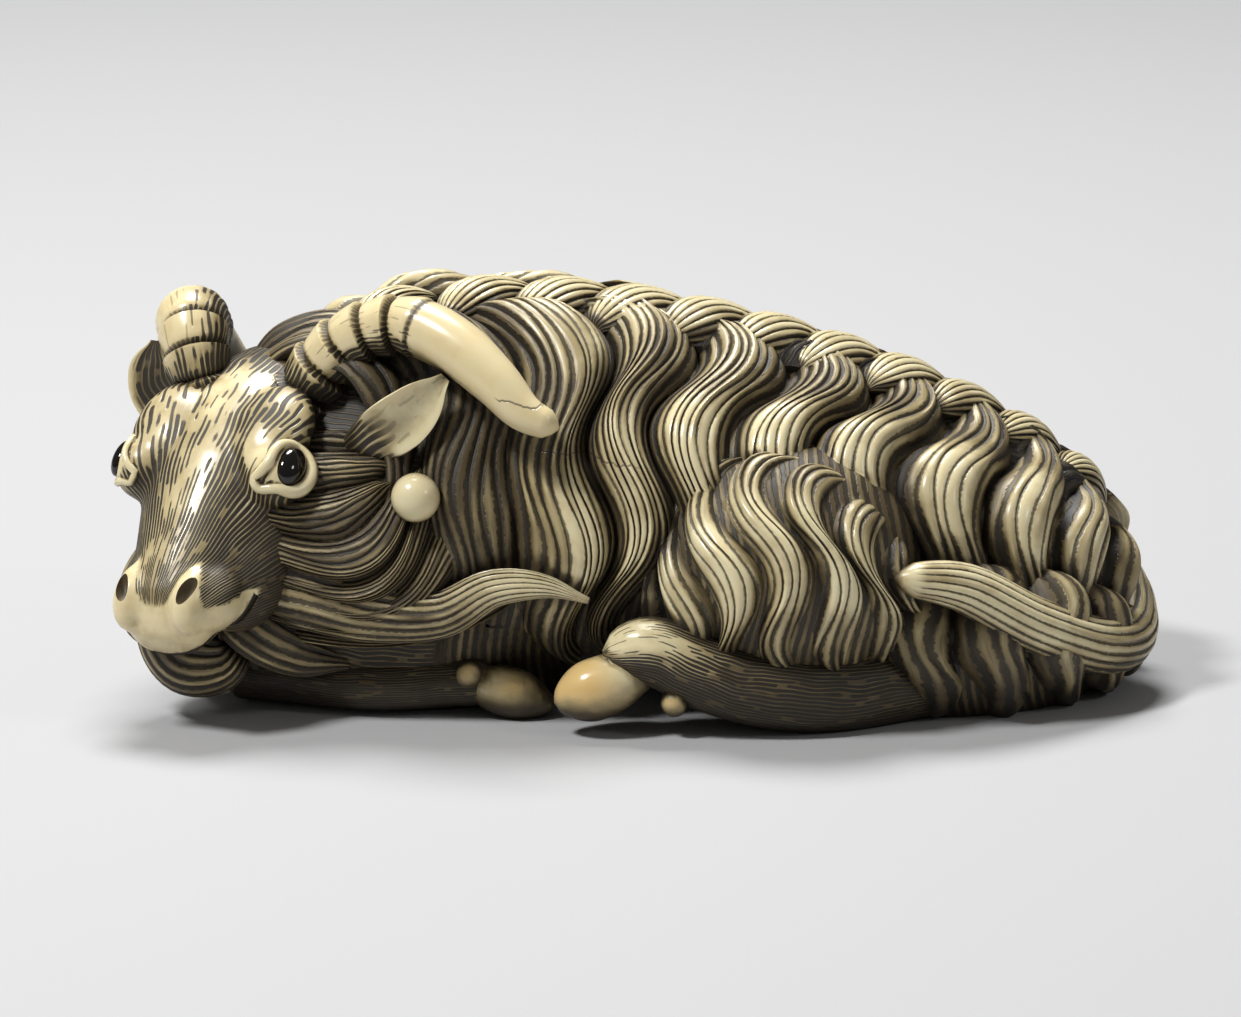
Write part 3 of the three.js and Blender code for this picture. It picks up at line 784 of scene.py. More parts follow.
def lids(side):
    """The rim of an eye: an almond, drawn out towards the nose."""
    turn = np.linspace(0, 2 * np.pi, 56, endpoint=False)
    corner = math.radians(-35 * side)
    reach = 1.26 + 0.5 * near(np.angle(np.exp(1j * (turn - corner))), 0, 0.42)
    x = reach * np.cos(turn) * 1.02
    y = reach * np.sin(turn) * 0.92
    z = np.sqrt(np.maximum(EYE["ball"] ** 2 - x**2 - y**2, 0.05)) + 0.05
    # the left eye has the heavier lid, and both lids are thickest away from the brow
    thick = 0.24 + 0.04 * side + (0.1 + 0.08 * side) * np.maximum(0, side * np.sin(turn))
    return in_eye(side, closed_tube(np.stack([x, y, z], axis=-1), thick))


def pupil(side, grow=0.0):
    centre = (0, 0, EYE["ball"] + PUPIL["proud"] - PUPIL["deep"])
    radii = (PUPIL["down"] + grow, PUPIL["across"] + grow, PUPIL["deep"] + grow)
    return in_eye(side, ball(centre, radii, 24, 32))


LIPS = np.array([
    # down the face, turn below its side
    [12.5, -4],
    [13.7, -15],
    [14.8, -23],
    [15.7, -33],
    [16.0, -60],
    [16.0, -90],
])
CHIN = dict(down=16.0, out=-2.5)  # where the fur of the face starts from


def face_finish(points):
    """What the head is like at each point: its fur runs from the muzzle back over the cheeks."""
    down, left, out = in_head(points).T
    off = np.abs(left)
    back = 0.8 * (CHIN["down"] - down) - 0.6 * (out - CHIN["out"])
    turn = np.arctan2(-0.6 * (down - CHIN["down"]) + 0.8 * (out - CHIN["out"]), left)

    # the muzzle is plain in front of a hem that runs round the nostrils, and so is what lies round the pupils
    hem = 15.1 - 2.5 * near(off, NOSTRIL["across"], 0.62)
    hem = np.where(off > 1.5, np.minimum(hem, 15.1 - 2.9 * near(out, CHIN["out"], 1.0)), hem)
    cut = ramp(hem + 0.2, hem - 0.2, down)
    about_eye = 0.0
    for side in (-1, 1):
        x, y, z = ((in_head(points) - eye_place(side)) @ eye_axes(side).T).T
        cut = cut * np.where(z > 0, ramp(1.1, 1.7, np.hypot(x, y)), 1)
        about_eye = about_eye + near(-side * y, 2.0, 0.9) * near(x, 0, 1.6) * (z > -0.5)

    # hands have worn the nose, the brow and the lids, and it is darker low on the head, beside the nose and
    # on the crown
    ridge = near(left, 0, 1.2) * ramp(13.5, 8.0, down) * ramp(-2.0, 0.0, out)
    brow = near(down, 2.6, 2.2) * near(left, 0, 4.0) * ramp(-1.0, 0.6, out)
    pale = np.clip(0.55 * ridge + 0.6 * brow + 0.9 * about_eye, 0, 1)
    low = ramp(0.3, -2.2, out)
    beside = near(off, 2.3, 0.8) * ramp(6.0, 7.5, down) * ramp(13.4, 12.2, down)
    crown = ramp(1.6, -0.6, down)
    dark = np.clip(0.4 + 0.55 * low + 0.35 * beside + 0.5 * crown, 0, 0.95)
    stain = cut * dark * (1 - 0.85 * pale * (1 - crown)) + 0.13 * (1 - cut) * ramp(11, 14, down)
    return turn * 30, back, cut, FUR, stain, 0.18


def nostril(side):
    """A slot that is cut into the muzzle, turned out from the middle."""
    slot = ball((0, 0, 0), (0.95, 0.42, 0.9), 16, 20, stain=1.0)
    c, s = math.cos(-0.3 * side), math.sin(-0.3 * side)
    place = np.array([NOSTRIL["down"], side * (NOSTRIL["across"] + 0.1), NOSTRIL["out"] + 1])
    slot.points = slot.points @ np.array([[c, s, 0], [-s, c, 0], [0, 0, 1]]) + place
    return on_head(slot)


def mouth(head):
    """A tube along the line between the lips, from one cheek round the muzzle to the other."""
    tree = tree_of(head)
    path = []
    for down, turn in [*LIPS, *((down, 180 - turn) for down, turn in LIPS[-2::-1])]:
        way = np.array([0, math.cos(math.radians(turn)), math.sin(math.radians(turn))])
        start = (np.array([down, 0, -2.4]) + way * 9) @ HEAD + POLL
        path.append(tree.ray_cast(Vector(start.tolist()), Vector((-way @ HEAD).tolist()))[0])
    look = dict(steps=60, strands=2, seed=0, stain=1.0)
    return limb(np.array(path, float), through(0.16, 0.26, 0.26, 0.26, 0.16), look)


def head_parts():
    """The head in one piece, with its lids, and cut for the pupils, the nostrils and the mouth."""
    parts = [
        skull(),
        on_head(ball((0.8, 1.6, -2.6), (2.2, 2.6, 2.0))),
        on_head(ball((13.3, 2.3, -2.0), (2.0, 1.35, 1.5))),
        on_head(ball((9.4, 2.3, -3.4), (4.6, 2.5, 2.6))),
    ]
    down, across, out = NOSTRIL["down"], NOSTRIL["across"], NOSTRIL["out"]
    for side in (-1, 1):
        parts.append(on_head(ball((4.6, side * 2.9, 0.5), (3.0, 2.2, 1.5))))
        parts.append(on_head(ball((down - 0.5, side * across * 0.95, out - 0.65), (2.0, 1.1, 1.5))))
        parts.append(in_eye(side, ball((0, 0, 0), (EYE["ball"] * 1.05, EYE["ball"], EYE["ball"]))))
    thing = blended([body_of(part, "head") for part in parts], voxel=0.22, rounds=5, name="head")
    say(thing.data, *face_finish(points_of(thing.data)))
    for side in (-1, 1):
        boolean(thing, body_of(lids(side), "lid"), "UNION")
        boolean(thing, body_of(pupil(side, 0.04), "socket"), "DIFFERENCE")
        boolean(thing, body_of(nostril(side), "nostril"), "DIFFERENCE")
    return boolean(thing, body_of(mouth(thing.data), "mouth"), "DIFFERENCE")


# ---- Horns, ears, wattle, beard ----

HORN = dict(rings=6, ringed=0.5, flare=0.09, groove=0.12, narrow=0.06, stained=0.05, round_off=0.035)
LEFT_HORN = [(-16.4, -2.6, 14.8), (-15.1, -3.2, 17.1), (-13.4, -3.9, 18.95), (-10.9, -4.9, 19.8),
             (-8.4, -6.6, 19.1), (-6.3, -8.2, 17.6), (-4.8, -9.2, 16.2), (-3.1, -9.7, 15.5)]
RIGHT_HORN = [(-21.0, -1.2, 14.8), (-21.7, -0.4, 17.0), (-22.0, 1.2, 18.4), (-22.1, 3.4, 18.2),
              (-21.6, 5.7, 16.6), (-20.0, 7.6, 14.2), (-17.2, 8.7, 12.2)]


def horn(path, widths, facing, seed):
    """A horn: rings that each flare to their upper edge and are scratched along, and then a smooth tip."""
    plain = through(*widths)

    def share(t):
        return (t / HORN["ringed"] * HORN["rings"]) % 1

    def to_ring(t):
        return np.minimum(share(t), 1 - share(t))

    def radius(t):
        flare = HORN["flare"] * (2 * share(t) - 1) - HORN["groove"] * near(to_ring(t), 0, HORN["narrow"])
        tip = np.sqrt(np.clip((1 - t) / HORN["round_off"], 0.02, 1))
        return plain(t) * (1 + np.where(t < HORN["ringed"], flare, 0)) * tip

    def amount(t, turn):
        low = 0.25 + 0.75 * ramp(0.3, -0.6, np.sin(turn))
        base = 1 - ramp(0.11, 0.18, t)
        return np.where(t < HORN["ringed"] + 0.02, np.maximum(low, base), 0.0)

    def stain(t, turn):
        line = near(to_ring(t), 0, HORN["stained"]) * (t < HORN["ringed"] + 0.01)
        low = ramp(0.0, -0.8, np.sin(turn)) * (t < HORN["ringed"])
        return np.clip(line + 0.45 * low + 0.5 * (1 - ramp(0.11, 0.18, t)), 0, 1)

    look = dict(steps=84, strands=15, cut=0.05, fine=2.2, style=FUR, seed=seed)
    return limb(path, radius, dict(look, amount=amount, stain=stain, warm=0.22), facing=facing)


EARS = [
    dict(
        path=[(-13.6, -5.6, 13.4), (-12.4, -7.2, 14.4), (-10.7, -8.0, 15.8), (-8.8, -7.7, 17.7)],
        faces=(0.15, -0.9, 0.1),
        dark=0.22,
    ),
    dict(
        path=[(-22.4, 0.2, 13.0), (-23.7, 0.4, 14.6), (-24.3, 1.0, 16.2), (-24.0, 1.7, 17.6)],
        faces=(-0.5, -0.85, 0.1),
        dark=0.9,
    ),
]


def ear(path, faces, dark, seed):
    """A leaf with a smooth hollow, and fur at its root and over its back. dark is the stain in the hollow."""
    steps, around = 40, 32
    t = np.linspace(0, 1, steps + 1)[:, None]
    centre, way = smooth_path(path, t[:, 0])
    side = unit(np.cross(way, np.asarray(faces, float)))
    wide = through(0.8, 1.15, 1.5, 1.5, 1.15, 0.2)(t)
    turn = 2 * np.pi * np.arange(around) / around
    c, s = np.cos(turn)[None], np.sin(turn)[None]
    dish = ramp(0.2, 0.45, t)
    front = wide * lerp(0.6 * s, 0.22 * np.sqrt(np.abs(s)) - 0.42 * (1 - np.abs(c) ** 2.2), dish)
    off = np.where(s > 0, front, 0.6 * wide * s)
    furry = np.where(s > 0, 1 - dish, 1.0)
    hollow = np.where(s > 0.1, dish * ramp(0.95, 0.5, np.abs(c)) * dark + 0.8 * (1 - dish), 0.8 * furry)
    return skin(
        ring_points(centre, side, c * wide, np.cross(side, way), off),
        across=np.arange(around + 1) / 1.6 + SEED_STEP * seed,
        along=t * gaps(centre).sum(),
        cut=np.maximum(furry, hollow),
        style=FUR,
        stain=hollow,
    )


WATTLE = np.array([-10.3, -9.0, 11.8])
CHEEK_LOCK = [(-19.0, -7.4, 7.0), (-16.0, -8.6, 6.7), (-12.6, -8.9, 5.8), (-9.1, -9.3, 5.8),
              (-6.4, -9.8, 7.3), (-3.8, -10.2, 7.5), (-1.6, -10.4, 6.8)]
CHIN_LOCK = [(-20.4, -6.6, 6.6), (-18.8, -8.2, 4.9), (-16.4, -8.3, 3.5), (-13.8, -7.4, 2.8)]
BREAST_TURNS = np.radians([-48, -24, 0, 24, 48, 72, 96])
BREAST_LOCK = ((5.6, 0.3, 11.2), (7.4, -0.5, 8.4), (8.4, 0.5, 5.6), (8.6, -0.4, 3.0), (7.8, 0.2, 0.6))
BEARD_LOCK = [(-21.9, -6.2, 6.8), (-22.5, -6.9, 4.8), (-21.8, -7.6, 3.2), (-20.2, -7.8, 2.9),
              (-18.9, -7.2, 3.6)]
SIDE_LOCK = [(-23.6, -4.6, 8.4), (-24.6, -6.2, 6.4), (-24.5, -7.2, 4.6), (-23.6, -7.4, 3.6)]


def neck_parts():
    """The wattle, and the two locks that run back from the chin and the cheek."""
    stain = lambda t, turn: 0.55 - 0.4 * ramp(0.55, 0.8, t)
    look = dict(steps=50, strands=17, cut=0.13, seed=40, stain=stain)
    under = dict(look, strands=13, steps=34, seed=44, stain=0.75)
    yield ball(WATTLE, (1.25, 1.25, 1.25))
    yield limb(CHIN_LOCK, through(1.2, 1.5, 1.3, 0.3), under, flat=0.7, facing=(0, -1, 0.3))
    yield limb(CHEEK_LOCK, through(1.6, 1.9, 1.6, 1.3, 1.1, 0.8, 0.1), look, flat=0.55, facing=(0, -1, 0))


def breast():
    """Plain wavy locks that hang down the front of the breast."""
    for k, turn in enumerate(BREAST_TURNS):
        c, s = math.cos(turn), math.sin(turn)
        path = [(-13 - r * c, 0.8 + 0.9 * r * s + sway, z) for r, sway, z in BREAST_LOCK]
        look = dict(steps=20, strands=8, cut=0.13, seed=80 + k, stain=0.6)
        yield limb(path, through(1.2, 1.9, 2.0, 1.8, 1.2), look, flat=0.5, facing=(-c, s, 0.2))


def beard():
    look = dict(steps=40, strands=18, cut=0.13, seed=42, stain=0.65, warm=0.5)
    yield limb(BEARD_LOCK, through(1.4, 2.2, 2.2, 1.7, 0.3), look, facing=(-0.5, -1, 0))
    look = dict(look, steps=24, strands=10, seed=43)
    yield limb(SIDE_LOCK, through(0.8, 1.0, 0.9, 0.2), look, facing=(-0.5, -1, 0))


# ---- Legs and tail ----

HIND_LEG = np.array([
    (16.4, -6.6, 1.8), (10, -10.0, 1.9), (5.0, -10.7, 2.9), (1.6, -10.8, 4.3), (-0.9, -10.8, 4.2),
])
HIND_HOOF = np.array([(1.3, -10.6, 3.4), (-0.6, -10.9, 2.6), (-3.3, -11.1, 1.65)])
FORE_LEG = np.array([(-19.4, -4.4, 1.6), (-13, -6.9, 1.5), (-8.5, -7.0, 1.7), (-6.4, -7.3, 1.8)])
FORE_HOOF = np.array([(-8.0, -7.3, 1.9), (-5.8, -7.5, 1.3), (-3.4, -7.8, 0.6)])
DEWCLAWS = np.array([(2.7, -11.6, 1.8), (-7.7, -8.0, 2.3)])
TAIL = [(25.4, 1.8, 6.4), (26.25, 0.2, 4.6), (26.15, -2.6, 3.1), (24.6, -5.5, 3.2), (21.0, -8.2, 5.0),
        (17.1, -9.8, 7.4), (13.7, -11.0, 8.1)]


HOOF_STEPS = 28


def same_side(points):
    return points


def across_body(points):
    return points * [1, -1, 1] + [0, 0.25, 0]


def blunt(end, *stops):
    """Half widths that run through the stops, and round off to nothing over the end's share of the length."""

    def radius(t):
        gone = np.clip((t - 1 + end) / end, 0, 1)
        return through(*stops)(t) * np.sqrt(np.clip(1 - gone**2, 0.01, 1))

    return radius


def legs():
    """On each side a hind leg and a fore leg folded under the body, with their hooves and dewclaws."""
    fur = dict(steps=40, strands=12, cut=0.04, style=FUR, fine=5.0)
    # painted shade on the legs folded under the body, lighter on the hind leg's upper side towards the hoof
    # and at the fore leg's end
    hind_painted_shade = lambda t, turn: 0.97 - 0.9 * ramp(0.62, 0.84, t) * ramp(-0.5, 0.4, np.sin(turn))
    fore_painted_shade = lambda t, turn: 1 - 0.5 * ramp(0.9, 1.0, t)
    hoof_warm = lambda t, turn: ramp(0.2, 0.6, t)
    stops = np.sin(np.linspace(0, math.pi / 2, HOOF_STEPS + 1))
    for seed, put in ((50, same_side), (60, across_body)):
        hind = dict(fur, seed=seed, stain=hind_painted_shade)
        fore = dict(fur, seed=seed + 1, stain=fore_painted_shade)
        hoof = dict(steps=HOOF_STEPS, stops=stops, strands=5, seed=seed + 2, amount=0.0, warm=hoof_warm)
        yield limb(put(HIND_LEG), blunt(0.14, 1.9, 2.0, 2.1, 1.9, 1.6), hind)
        yield limb(put(FORE_LEG), blunt(0.08, 1.5, 1.3, 1.3, 1.25), fore)
        yield limb(put(HIND_HOOF), blunt(0.42, 0.9, 1.55, 1.6, 1.35), hoof)
        yield limb(put(FORE_HOOF), blunt(0.45, 0.6, 1.3, 1.35, 1.0), hoof)
        for claw in put(DEWCLAWS):
            yield ball(claw, (0.68, 0.65, 0.72), 14, 18, warm=0.8)


def tail():
    def radius(t):
        return through(1.0, 1.5, 1.55, 1.45, 1.4, 1.3, 0.75)(t) * np.sqrt(np.clip((1 - t) / 0.05, 0.02, 1))

    def amount(t, turn):
        worn = 0.35 + 0.65 * ramp(0.9, 0.2, np.sin(turn + 0.6))
        return worn * ramp(0.98, 0.88, t)

    def stain(t, turn):
        return 0.15 + 0.3 * ramp(0.55, 0.3, t)

    return limb(TAIL, radius, dict(steps=64, strands=17, cut=0.1, seed=70, amount=amount, stain=stain))


# ---- The body under the coat ----


CORE_SINK = 0.56  # how far the body lies under the surface that the coat grows on
CORD = dict(start=0.2, end=5.8, y=0.6, wide=1.7, narrow=1.5, bend=2.2, deep=4.2)


def body_finish(points):
    """What the body is like where it shows between the locks: dark, with strands running back along it."""
    x, y, z = points.T
    neck = (x < -9) & (y < -2)
    around = np.where(x < -17, y, x)
    across = np.where(neck, z / 0.26 + 0.8 * np.sin(x * 0.5), around / 0.5 + 0.9 * np.sin(z * 0.55))
    return across, np.where(neck, x, z), 0.9, np.where(neck, FUR, LONG), 0.9, 0.0


def core(u, v):
    at, _, _, out, *_ = place_on(trunk, u, v)
    return at - out * CORE_SINK


def masses():
    yield wrapped(core, 60, 72)
    for place in (THIGH, FAR_THIGH, SEAT, THROAT, NAPE, BREAST):
        yield wrapped(egg(**place), 36, 48)


def cord_tunnel():
    """The tunnel for the cord: in at one hole under the belly, round a bend, and out at the other."""
    a, b, y = CORD["start"], CORD["end"], CORD["y"]
    way = [(a, y, -1), (a, y, CORD["bend"]), ((a + b) / 2, y, CORD["deep"]), (b, y, CORD["bend"]), (b, y, -1)]
    widths = through(CORD["wide"], CORD["wide"], CORD["narrow"], CORD["narrow"])
    return limb(way, widths, dict(steps=40, strands=6, seed=0, stain=0.6), facing=(0, 1, 0))


def ground():
    """What the carving's flats are cut off by: a slab under z = 0."""
    square = ((-100, -100), (100, -100), (100, 100), (-100, 100))
    corners = np.array([[(x, y, z) for x, y in square] for z in (-40, 0)], float)
    return skin(corners, stain=0.7)


def openness(mesh, reach, many):
    """How open each point lies within reach, from 0 in a shut corner to 1: hands polish what is open, and the
    finish also paints shade where it is shut.
    """
    normals = vectors_of(mesh, "normal")
    cast = tree_of(mesh).ray_cast
    k = np.arange(many)
    high = 1 - (2 * k + 1) / many
    around = k * math.pi * (3 - math.sqrt(5))
    flat = np.sqrt(1 - high**2)
    starts = points_of(mesh) + normals * 0.03
    begin = [Vector(p) for p in starts.tolist()]
    clear, total = 0.0, 0.0
    for way in np.stack([flat * np.cos(around), flat * np.sin(around), high], axis=-1):
        facing = normals @ way
        sign = np.where(facing < 0, -1.0, 1.0)
        weight = np.abs(facing) + 0.15
        up, down = Vector(way.tolist()), Vector((-way).tolist())
        hits = (cast(p, up if g > 0 else down, reach)[3] for p, g in zip(begin, sign.tolist()))
        free = np.array([1.0 if hit is None else hit / reach for hit in hits])
        fall = way[2] * sign
        floor = np.clip(starts[:, 2] / np.maximum(-fall, 1e-6) / reach, 0, 1)
        clear = clear + np.minimum(free, np.where(fall < 0, floor, 1)) * weight
        total = total + weight
    return clear / total


# ---- Finishes ----


def sum_node(operation):
    return lambda wire, *others: wire.sheet.math(operation, wire, *others)


class Wire:
    """What comes out of a node. Sums on wires lay out further nodes."""

    __add__ = sum_node("ADD")
    __sub__ = sum_node("SUBTRACT")
    __mul__ = sum_node("MULTIPLY")
    __abs__ = sum_node("ABSOLUTE")
    most = sum_node("MAXIMUM")
    least = sum_node("MINIMUM")
    floor = sum_node("FLOOR")
    fraction = sum_node("FRACT")

    def __init__(self, sheet, socket):
        self.sheet = sheet
        self.socket = socket

    def __rsub__(self, other):
        return self.sheet.math("SUBTRACT", other, self)

    def ramp(self, low, high, start=0.0, end=1.0):
        """start where this is low, end where it is high, and a smooth step between."""
        given = {"Value": self, "From Min": low, "From Max": high, "To Min": start, "To Max": end}
        return self.sheet.get("Result", "ShaderNodeMapRange", given, interpolation_type="SMOOTHSTEP")


class Sheet:
    """A node tree that is being laid out, and short ways to add to it."""

    def __init__(self, tree):
        self.tree = tree

    def add(self, kind, inputs=(), **settings):
        node = self.tree.nodes.new(kind)
        for key, value in settings.items():
            setattr(node, key, value)
        for key, value in dict(inputs).items():
            self.put(value, node.inputs[key])
        return node

    def put(self, value, socket):
        if isinstance(value, Wire):
            self.tree.links.new(value.socket, socket)
        else:
            socket.default_value = value

    def get(self, output, kind, inputs=(), **settings):
        """The wire from an output of a new node."""
        return Wire(self, self.add(kind, inputs, **settings).outputs[output])

    def math(self, operation, *values):
        return self.get(0, "ShaderNodeMath", dict(enumerate(values)), operation=operation)

    def mix(self, share, a, b):
        return self.get(2, "ShaderNodeMix", {"Factor": share, 6: a, 7: b}, data_type="RGBA")

    def either(self, share, a, b):
        return self.get(0, "ShaderNodeMix", {0: share, 2: a, 3: b}, data_type="FLOAT")

    def parts(self, vector):
        node = self.add("ShaderNodeSeparateXYZ", {0: vector})
        return [Wire(self, socket) for socket in node.outputs]

    def pair(self, name):
        return self.parts(self.get(0, "ShaderNodeUVMap", uv_map=name))[:2]

    def noise(self, vector, scale=1.0, detail=2.0):
        return self.get("Fac", "ShaderNodeTexNoise", {"Vector": vector, "Scale": scale, "Detail": detail})

    def noise_at(self, x, y, scale=1.0, detail=2.0):
        return self.noise(self.get(0, "ShaderNodeCombineXYZ", {0: x, 1: y, 2: 0.0}), scale, detail)

    def use(self, tree, **inputs):
        """The wires out of a new node of a group, by their names."""
        node = self.add("ShaderNodeGroup", node_tree=tree)
        for key, value in inputs.items():
            self.put(value, node.inputs[key])
        return {socket.name: Wire(self, socket) for socket in node.outputs}


def group(name, ins, outs):
    """A new node group: its sheet, the wires of what it is given, and the sockets of its results."""
    tree = bpy.data.node_groups.new(name, "ShaderNodeTree")
    for sockets, way in ((ins, "INPUT"), (outs, "OUTPUT")):
        for socket in sockets:
            tree.interface.new_socket(socket, in_out=way, socket_type="NodeSocketFloat")
    sheet = Sheet(tree)
    given = sheet.add("NodeGroupInput").outputs
    return sheet, [Wire(sheet, given[socket]) for socket in ins], sheet.add("NodeGroupOutput").inputs


def from_middle(share):
    """0 in the middle of a strand, and 1 at both of its edges."""
    return abs(share - 0.5) * 2.0


def cut_lines():
    """The tool's lines, in long strands: where they are, by how many strands across and how far along."""
    names = ("Line", "Ridge", "Streak", "Tone")
    sheet, (across, along, width), result = group("Cut lines", ("Across", "Along", "Width"), names)
    place = across + (sheet.noise_at(across * 0.6, along * 0.9) - 0.5) * 0.16
    edge = from_middle(place.fraction())
    row = place.floor()
    ragged = sheet.noise_at(across, along * 2.5, 2.0)
    start = 1.0 - width * ragged.ramp(0.3, 0.7, 0.7, 1.3)
    some = sheet.noise_at(row * 1.9, along * 0.35, detail=1.0)
    own = sheet.noise_at(row * 5.3, along * 0.16, detail=0.0)
    fine = sheet.noise_at(across * 5.0, along * 0.7, detail=3.0)
    sheet.put(edge.ramp(start - 0.1, start + 0.12), result["Line"])
    sheet.put(edge.ramp(0.6, 0.1) * some.ramp(0.35, 0.65, 0.2, 1.0), result["Ridge"])
    sheet.put(fine.ramp(0.45, 0.75), result["Streak"])
    sheet.put(own.ramp(0.35, 0.65), result["Tone"])
    return sheet.tree


def fur_strokes():
    """Short fine strokes of the tool, wider and closer where Amount is more."""
    names = ("Stroke", "Ridge")
    sheet, (across, along, amount), result = group("Fur strokes", ("Across", "Along", "Amount"), names)
    place = across + sheet.noise_at(across * 0.13, along * 0.4, detail=1.0) * 2.6
    row = place.floor()
    edge = from_middle(place.fraction())
    low = amount.ramp(0.0, 1.0, 0.68, 0.25)
    there = sheet.noise_at(row * 3.71, along * 0.85 + row * 1.37, detail=0.0).ramp(low, low + 0.1)
    width = there * amount.ramp(0.2, 0.9, 0.36, 0.85)
    line = edge.ramp(width, width - 0.3)
    some = sheet.noise_at(row * 2.17, along * 0.6, detail=1.0)
    sheet.put(line * (there * amount.ramp(0.2, 0.7, 0.8, 1.0)), result["Stroke"])
    sheet.put(edge.ramp(0.45, 0.9) * some.ramp(0.4, 0.65), result["Ridge"])
    return sheet.tree


def hair_crack():
    """A crack of age on the near side, level but for its fall, from one x to another, in millimetres."""
    ins = ("X", "Y", "Z", "From", "To", "Height", "Fall", "Front")
    sheet, (x, y, z, start, end, height, fall, front), result = group("Hair crack", ins, ("Line",))
    run = x - start
    uneven = (sheet.noise_at(x, height, 1.6) - 0.5) * 0.7
    off = abs(z - (height - run * fall + uneven))
    line = off.ramp(0.07, 0.02) * run.ramp(0.0, 0.4) * (end - x).ramp(0.0, 1.2)
    sheet.put(line * (front - y).ramp(0.0, 0.3), result["Line"])
    return sheet.tree


CRACKS = [
    dict(From=-5.6, To=0.4, Height=14.1, Fall=0.15, Front=-5.0),
    dict(From=-7.4, To=-4.2, Height=17.1, Fall=0.2, Front=-7.0),
]


def ivory(look):
    """Old polished ivory: pale where hands have worn it, brown in the cuts and in what lies deep, with
    painted shade in shut places and painted glints along the strands.
    """
    material = bpy.data.materials.new("ivory")
    material.use_nodes = True
    material.node_tree.nodes.clear()
    sheet = Sheet(material.node_tree)
    across, along = sheet.pair("strand")
    cut, style = sheet.pair("cut")
    stain, warm = sheet.pair("tone")
    near_open, far_open = (sheet.get("Fac", "ShaderNodeAttribute", attribute_name=name) for name in OPEN)
    inside = sheet.get("Object", "ShaderNodeTexCoord")
    grain = sheet.noise(inside, 900.0, 4.0)

    # deep says how far the ivory has kept its brown, from 0 on what is clean to 1, and where little of the
    # room is open it also stands for painted shade
    is_cut = cut.ramp(0.02, 0.5)
    patch = sheet.noise(inside, 260.0).ramp(0.35, 0.7, 0.0, 0.22)
    clean = near_open.ramp(0.5, 0.98) * far_open.ramp(0.32, 0.92) * (1.0 - stain)
    deep = grain.ramp(0.35, 0.75, 0.92, 1.08) - clean + patch * is_cut
    deep = deep.most(0.0).least(1.0)

    # dark says where stain fills the tool's lines and the cracks, and ridge runs down the middle of each
    # strand, where a painted glint is laid
    lines = sheet.use(cut_lines(), Across=across, Along=along, Width=deep.ramp(0.0, 1.0, 0.2, 0.5))
    fur = sheet.use(fur_strokes(), Across=across, Along=along, Amount=(deep * 0.9 + 0.3).least(1.0))
    streaks = lines["Streak"] * deep.ramp(0.1, 0.8, 0.05, 0.5)
    dark = sheet.either(style, lines["Line"].most(streaks), fur["Stroke"]) * is_cut
    ridge = sheet.either(style, lines["Ridge"], fur["Ridge"]) * is_cut
    crack_tree = hair_crack()
    in_mm = sheet.get(0, "ShaderNodeVectorMath", {0: inside, "Scale": 1 / MM}, operation="SCALE")
    x, y, z = sheet.parts(in_mm)
    for crack in CRACKS:
        dark = dark.most(sheet.use(crack_tree, X=x, Y=y, Z=z, **crack)["Line"] * 0.75)
    tone = (lines["Tone"] - 0.4) * style.ramp(0.0, 1.0, 0.3, 0.0)
    deep = (deep + tone * is_cut).most(0.0)
    # painted glints: the middle of each strand is lightened, less where the stain is heavy
    glint = ridge * grain.ramp(0.3, 0.7, 0.25, 0.6) * stain.ramp(0.6, 1.0, 1.0, 0.45)
    deep = deep - glint * deep.ramp(0.2, 0.8)

    # worn is the ivory's colour by deep, which carries patina and stain and also the painted glints and
    # painted shade
    pale = sheet.mix(warm, (*look.ivory, 1), (*look.warm, 1))
    pale = sheet.mix(grain.ramp(0.3, 0.8, 0.0, 0.25), pale, (*look.warm, 1))
    half = sheet.mix(deep.ramp(0.0, 0.55), pale, (*look.honey, 1))
    worn = sheet.mix(deep.ramp(0.4, 1.0), half, (*look.tan, 1))
    filled = dark * far_open.ramp(0.35, 0.9, 0.97, 0.78).most(style * 0.96)
    colour = sheet.mix(filled, worn, (*look.stain, 1))
    shadow = near_open.ramp(0.38, 0.08, 0.0, 0.85).most(far_open.ramp(0.62, 0.15, 0.0, 0.85))
    colour = sheet.mix(shadow, colour, (*look.stain, 1))

    height = grain.ramp(0.0, 1.0, 0.0, 0.12) - dark
    shader = sheet.add("ShaderNodeBsdfPrincipled")
    sheet.put(colour, shader.inputs["Base Color"])
    sheet.put(dark.most(deep).ramp(0.0, 1.0, 0.22, 0.55), shader.inputs["Roughness"])
    bump = sheet.get(0, "ShaderNodeBump", {"Strength": 0.6, "Distance": 0.00006, "Height": height})
    sheet.put(bump, shader.inputs["Normal"])
    shader.inputs["IOR"].default_value = 1.53
    shader.inputs["Subsurface Weight"].default_value = 0.08
    shader.inputs["Subsurface Radius"].default_value = (1.0, 0.7, 0.4)
    shader.inputs["Subsurface Scale"].default_value = 0.0006
    sheet.put(Wire(sheet, shader.outputs[0]), sheet.add("ShaderNodeOutputMaterial").inputs["Surface"])
    return material


def plain_finish(name, colour, roughness, ior=1.5):
    """A finish that is one colour all over."""
    material = bpy.data.materials.new(name)
    material.use_nodes = True
    shader = material.node_tree.nodes["Principled BSDF"]
    shader.inputs["Base Color"].default_value = (*colour, 1)
    shader.inputs["Roughness"].default_value = roughness
    shader.inputs["IOR"].default_value = ior
    return material


# ---- What a user may change ----


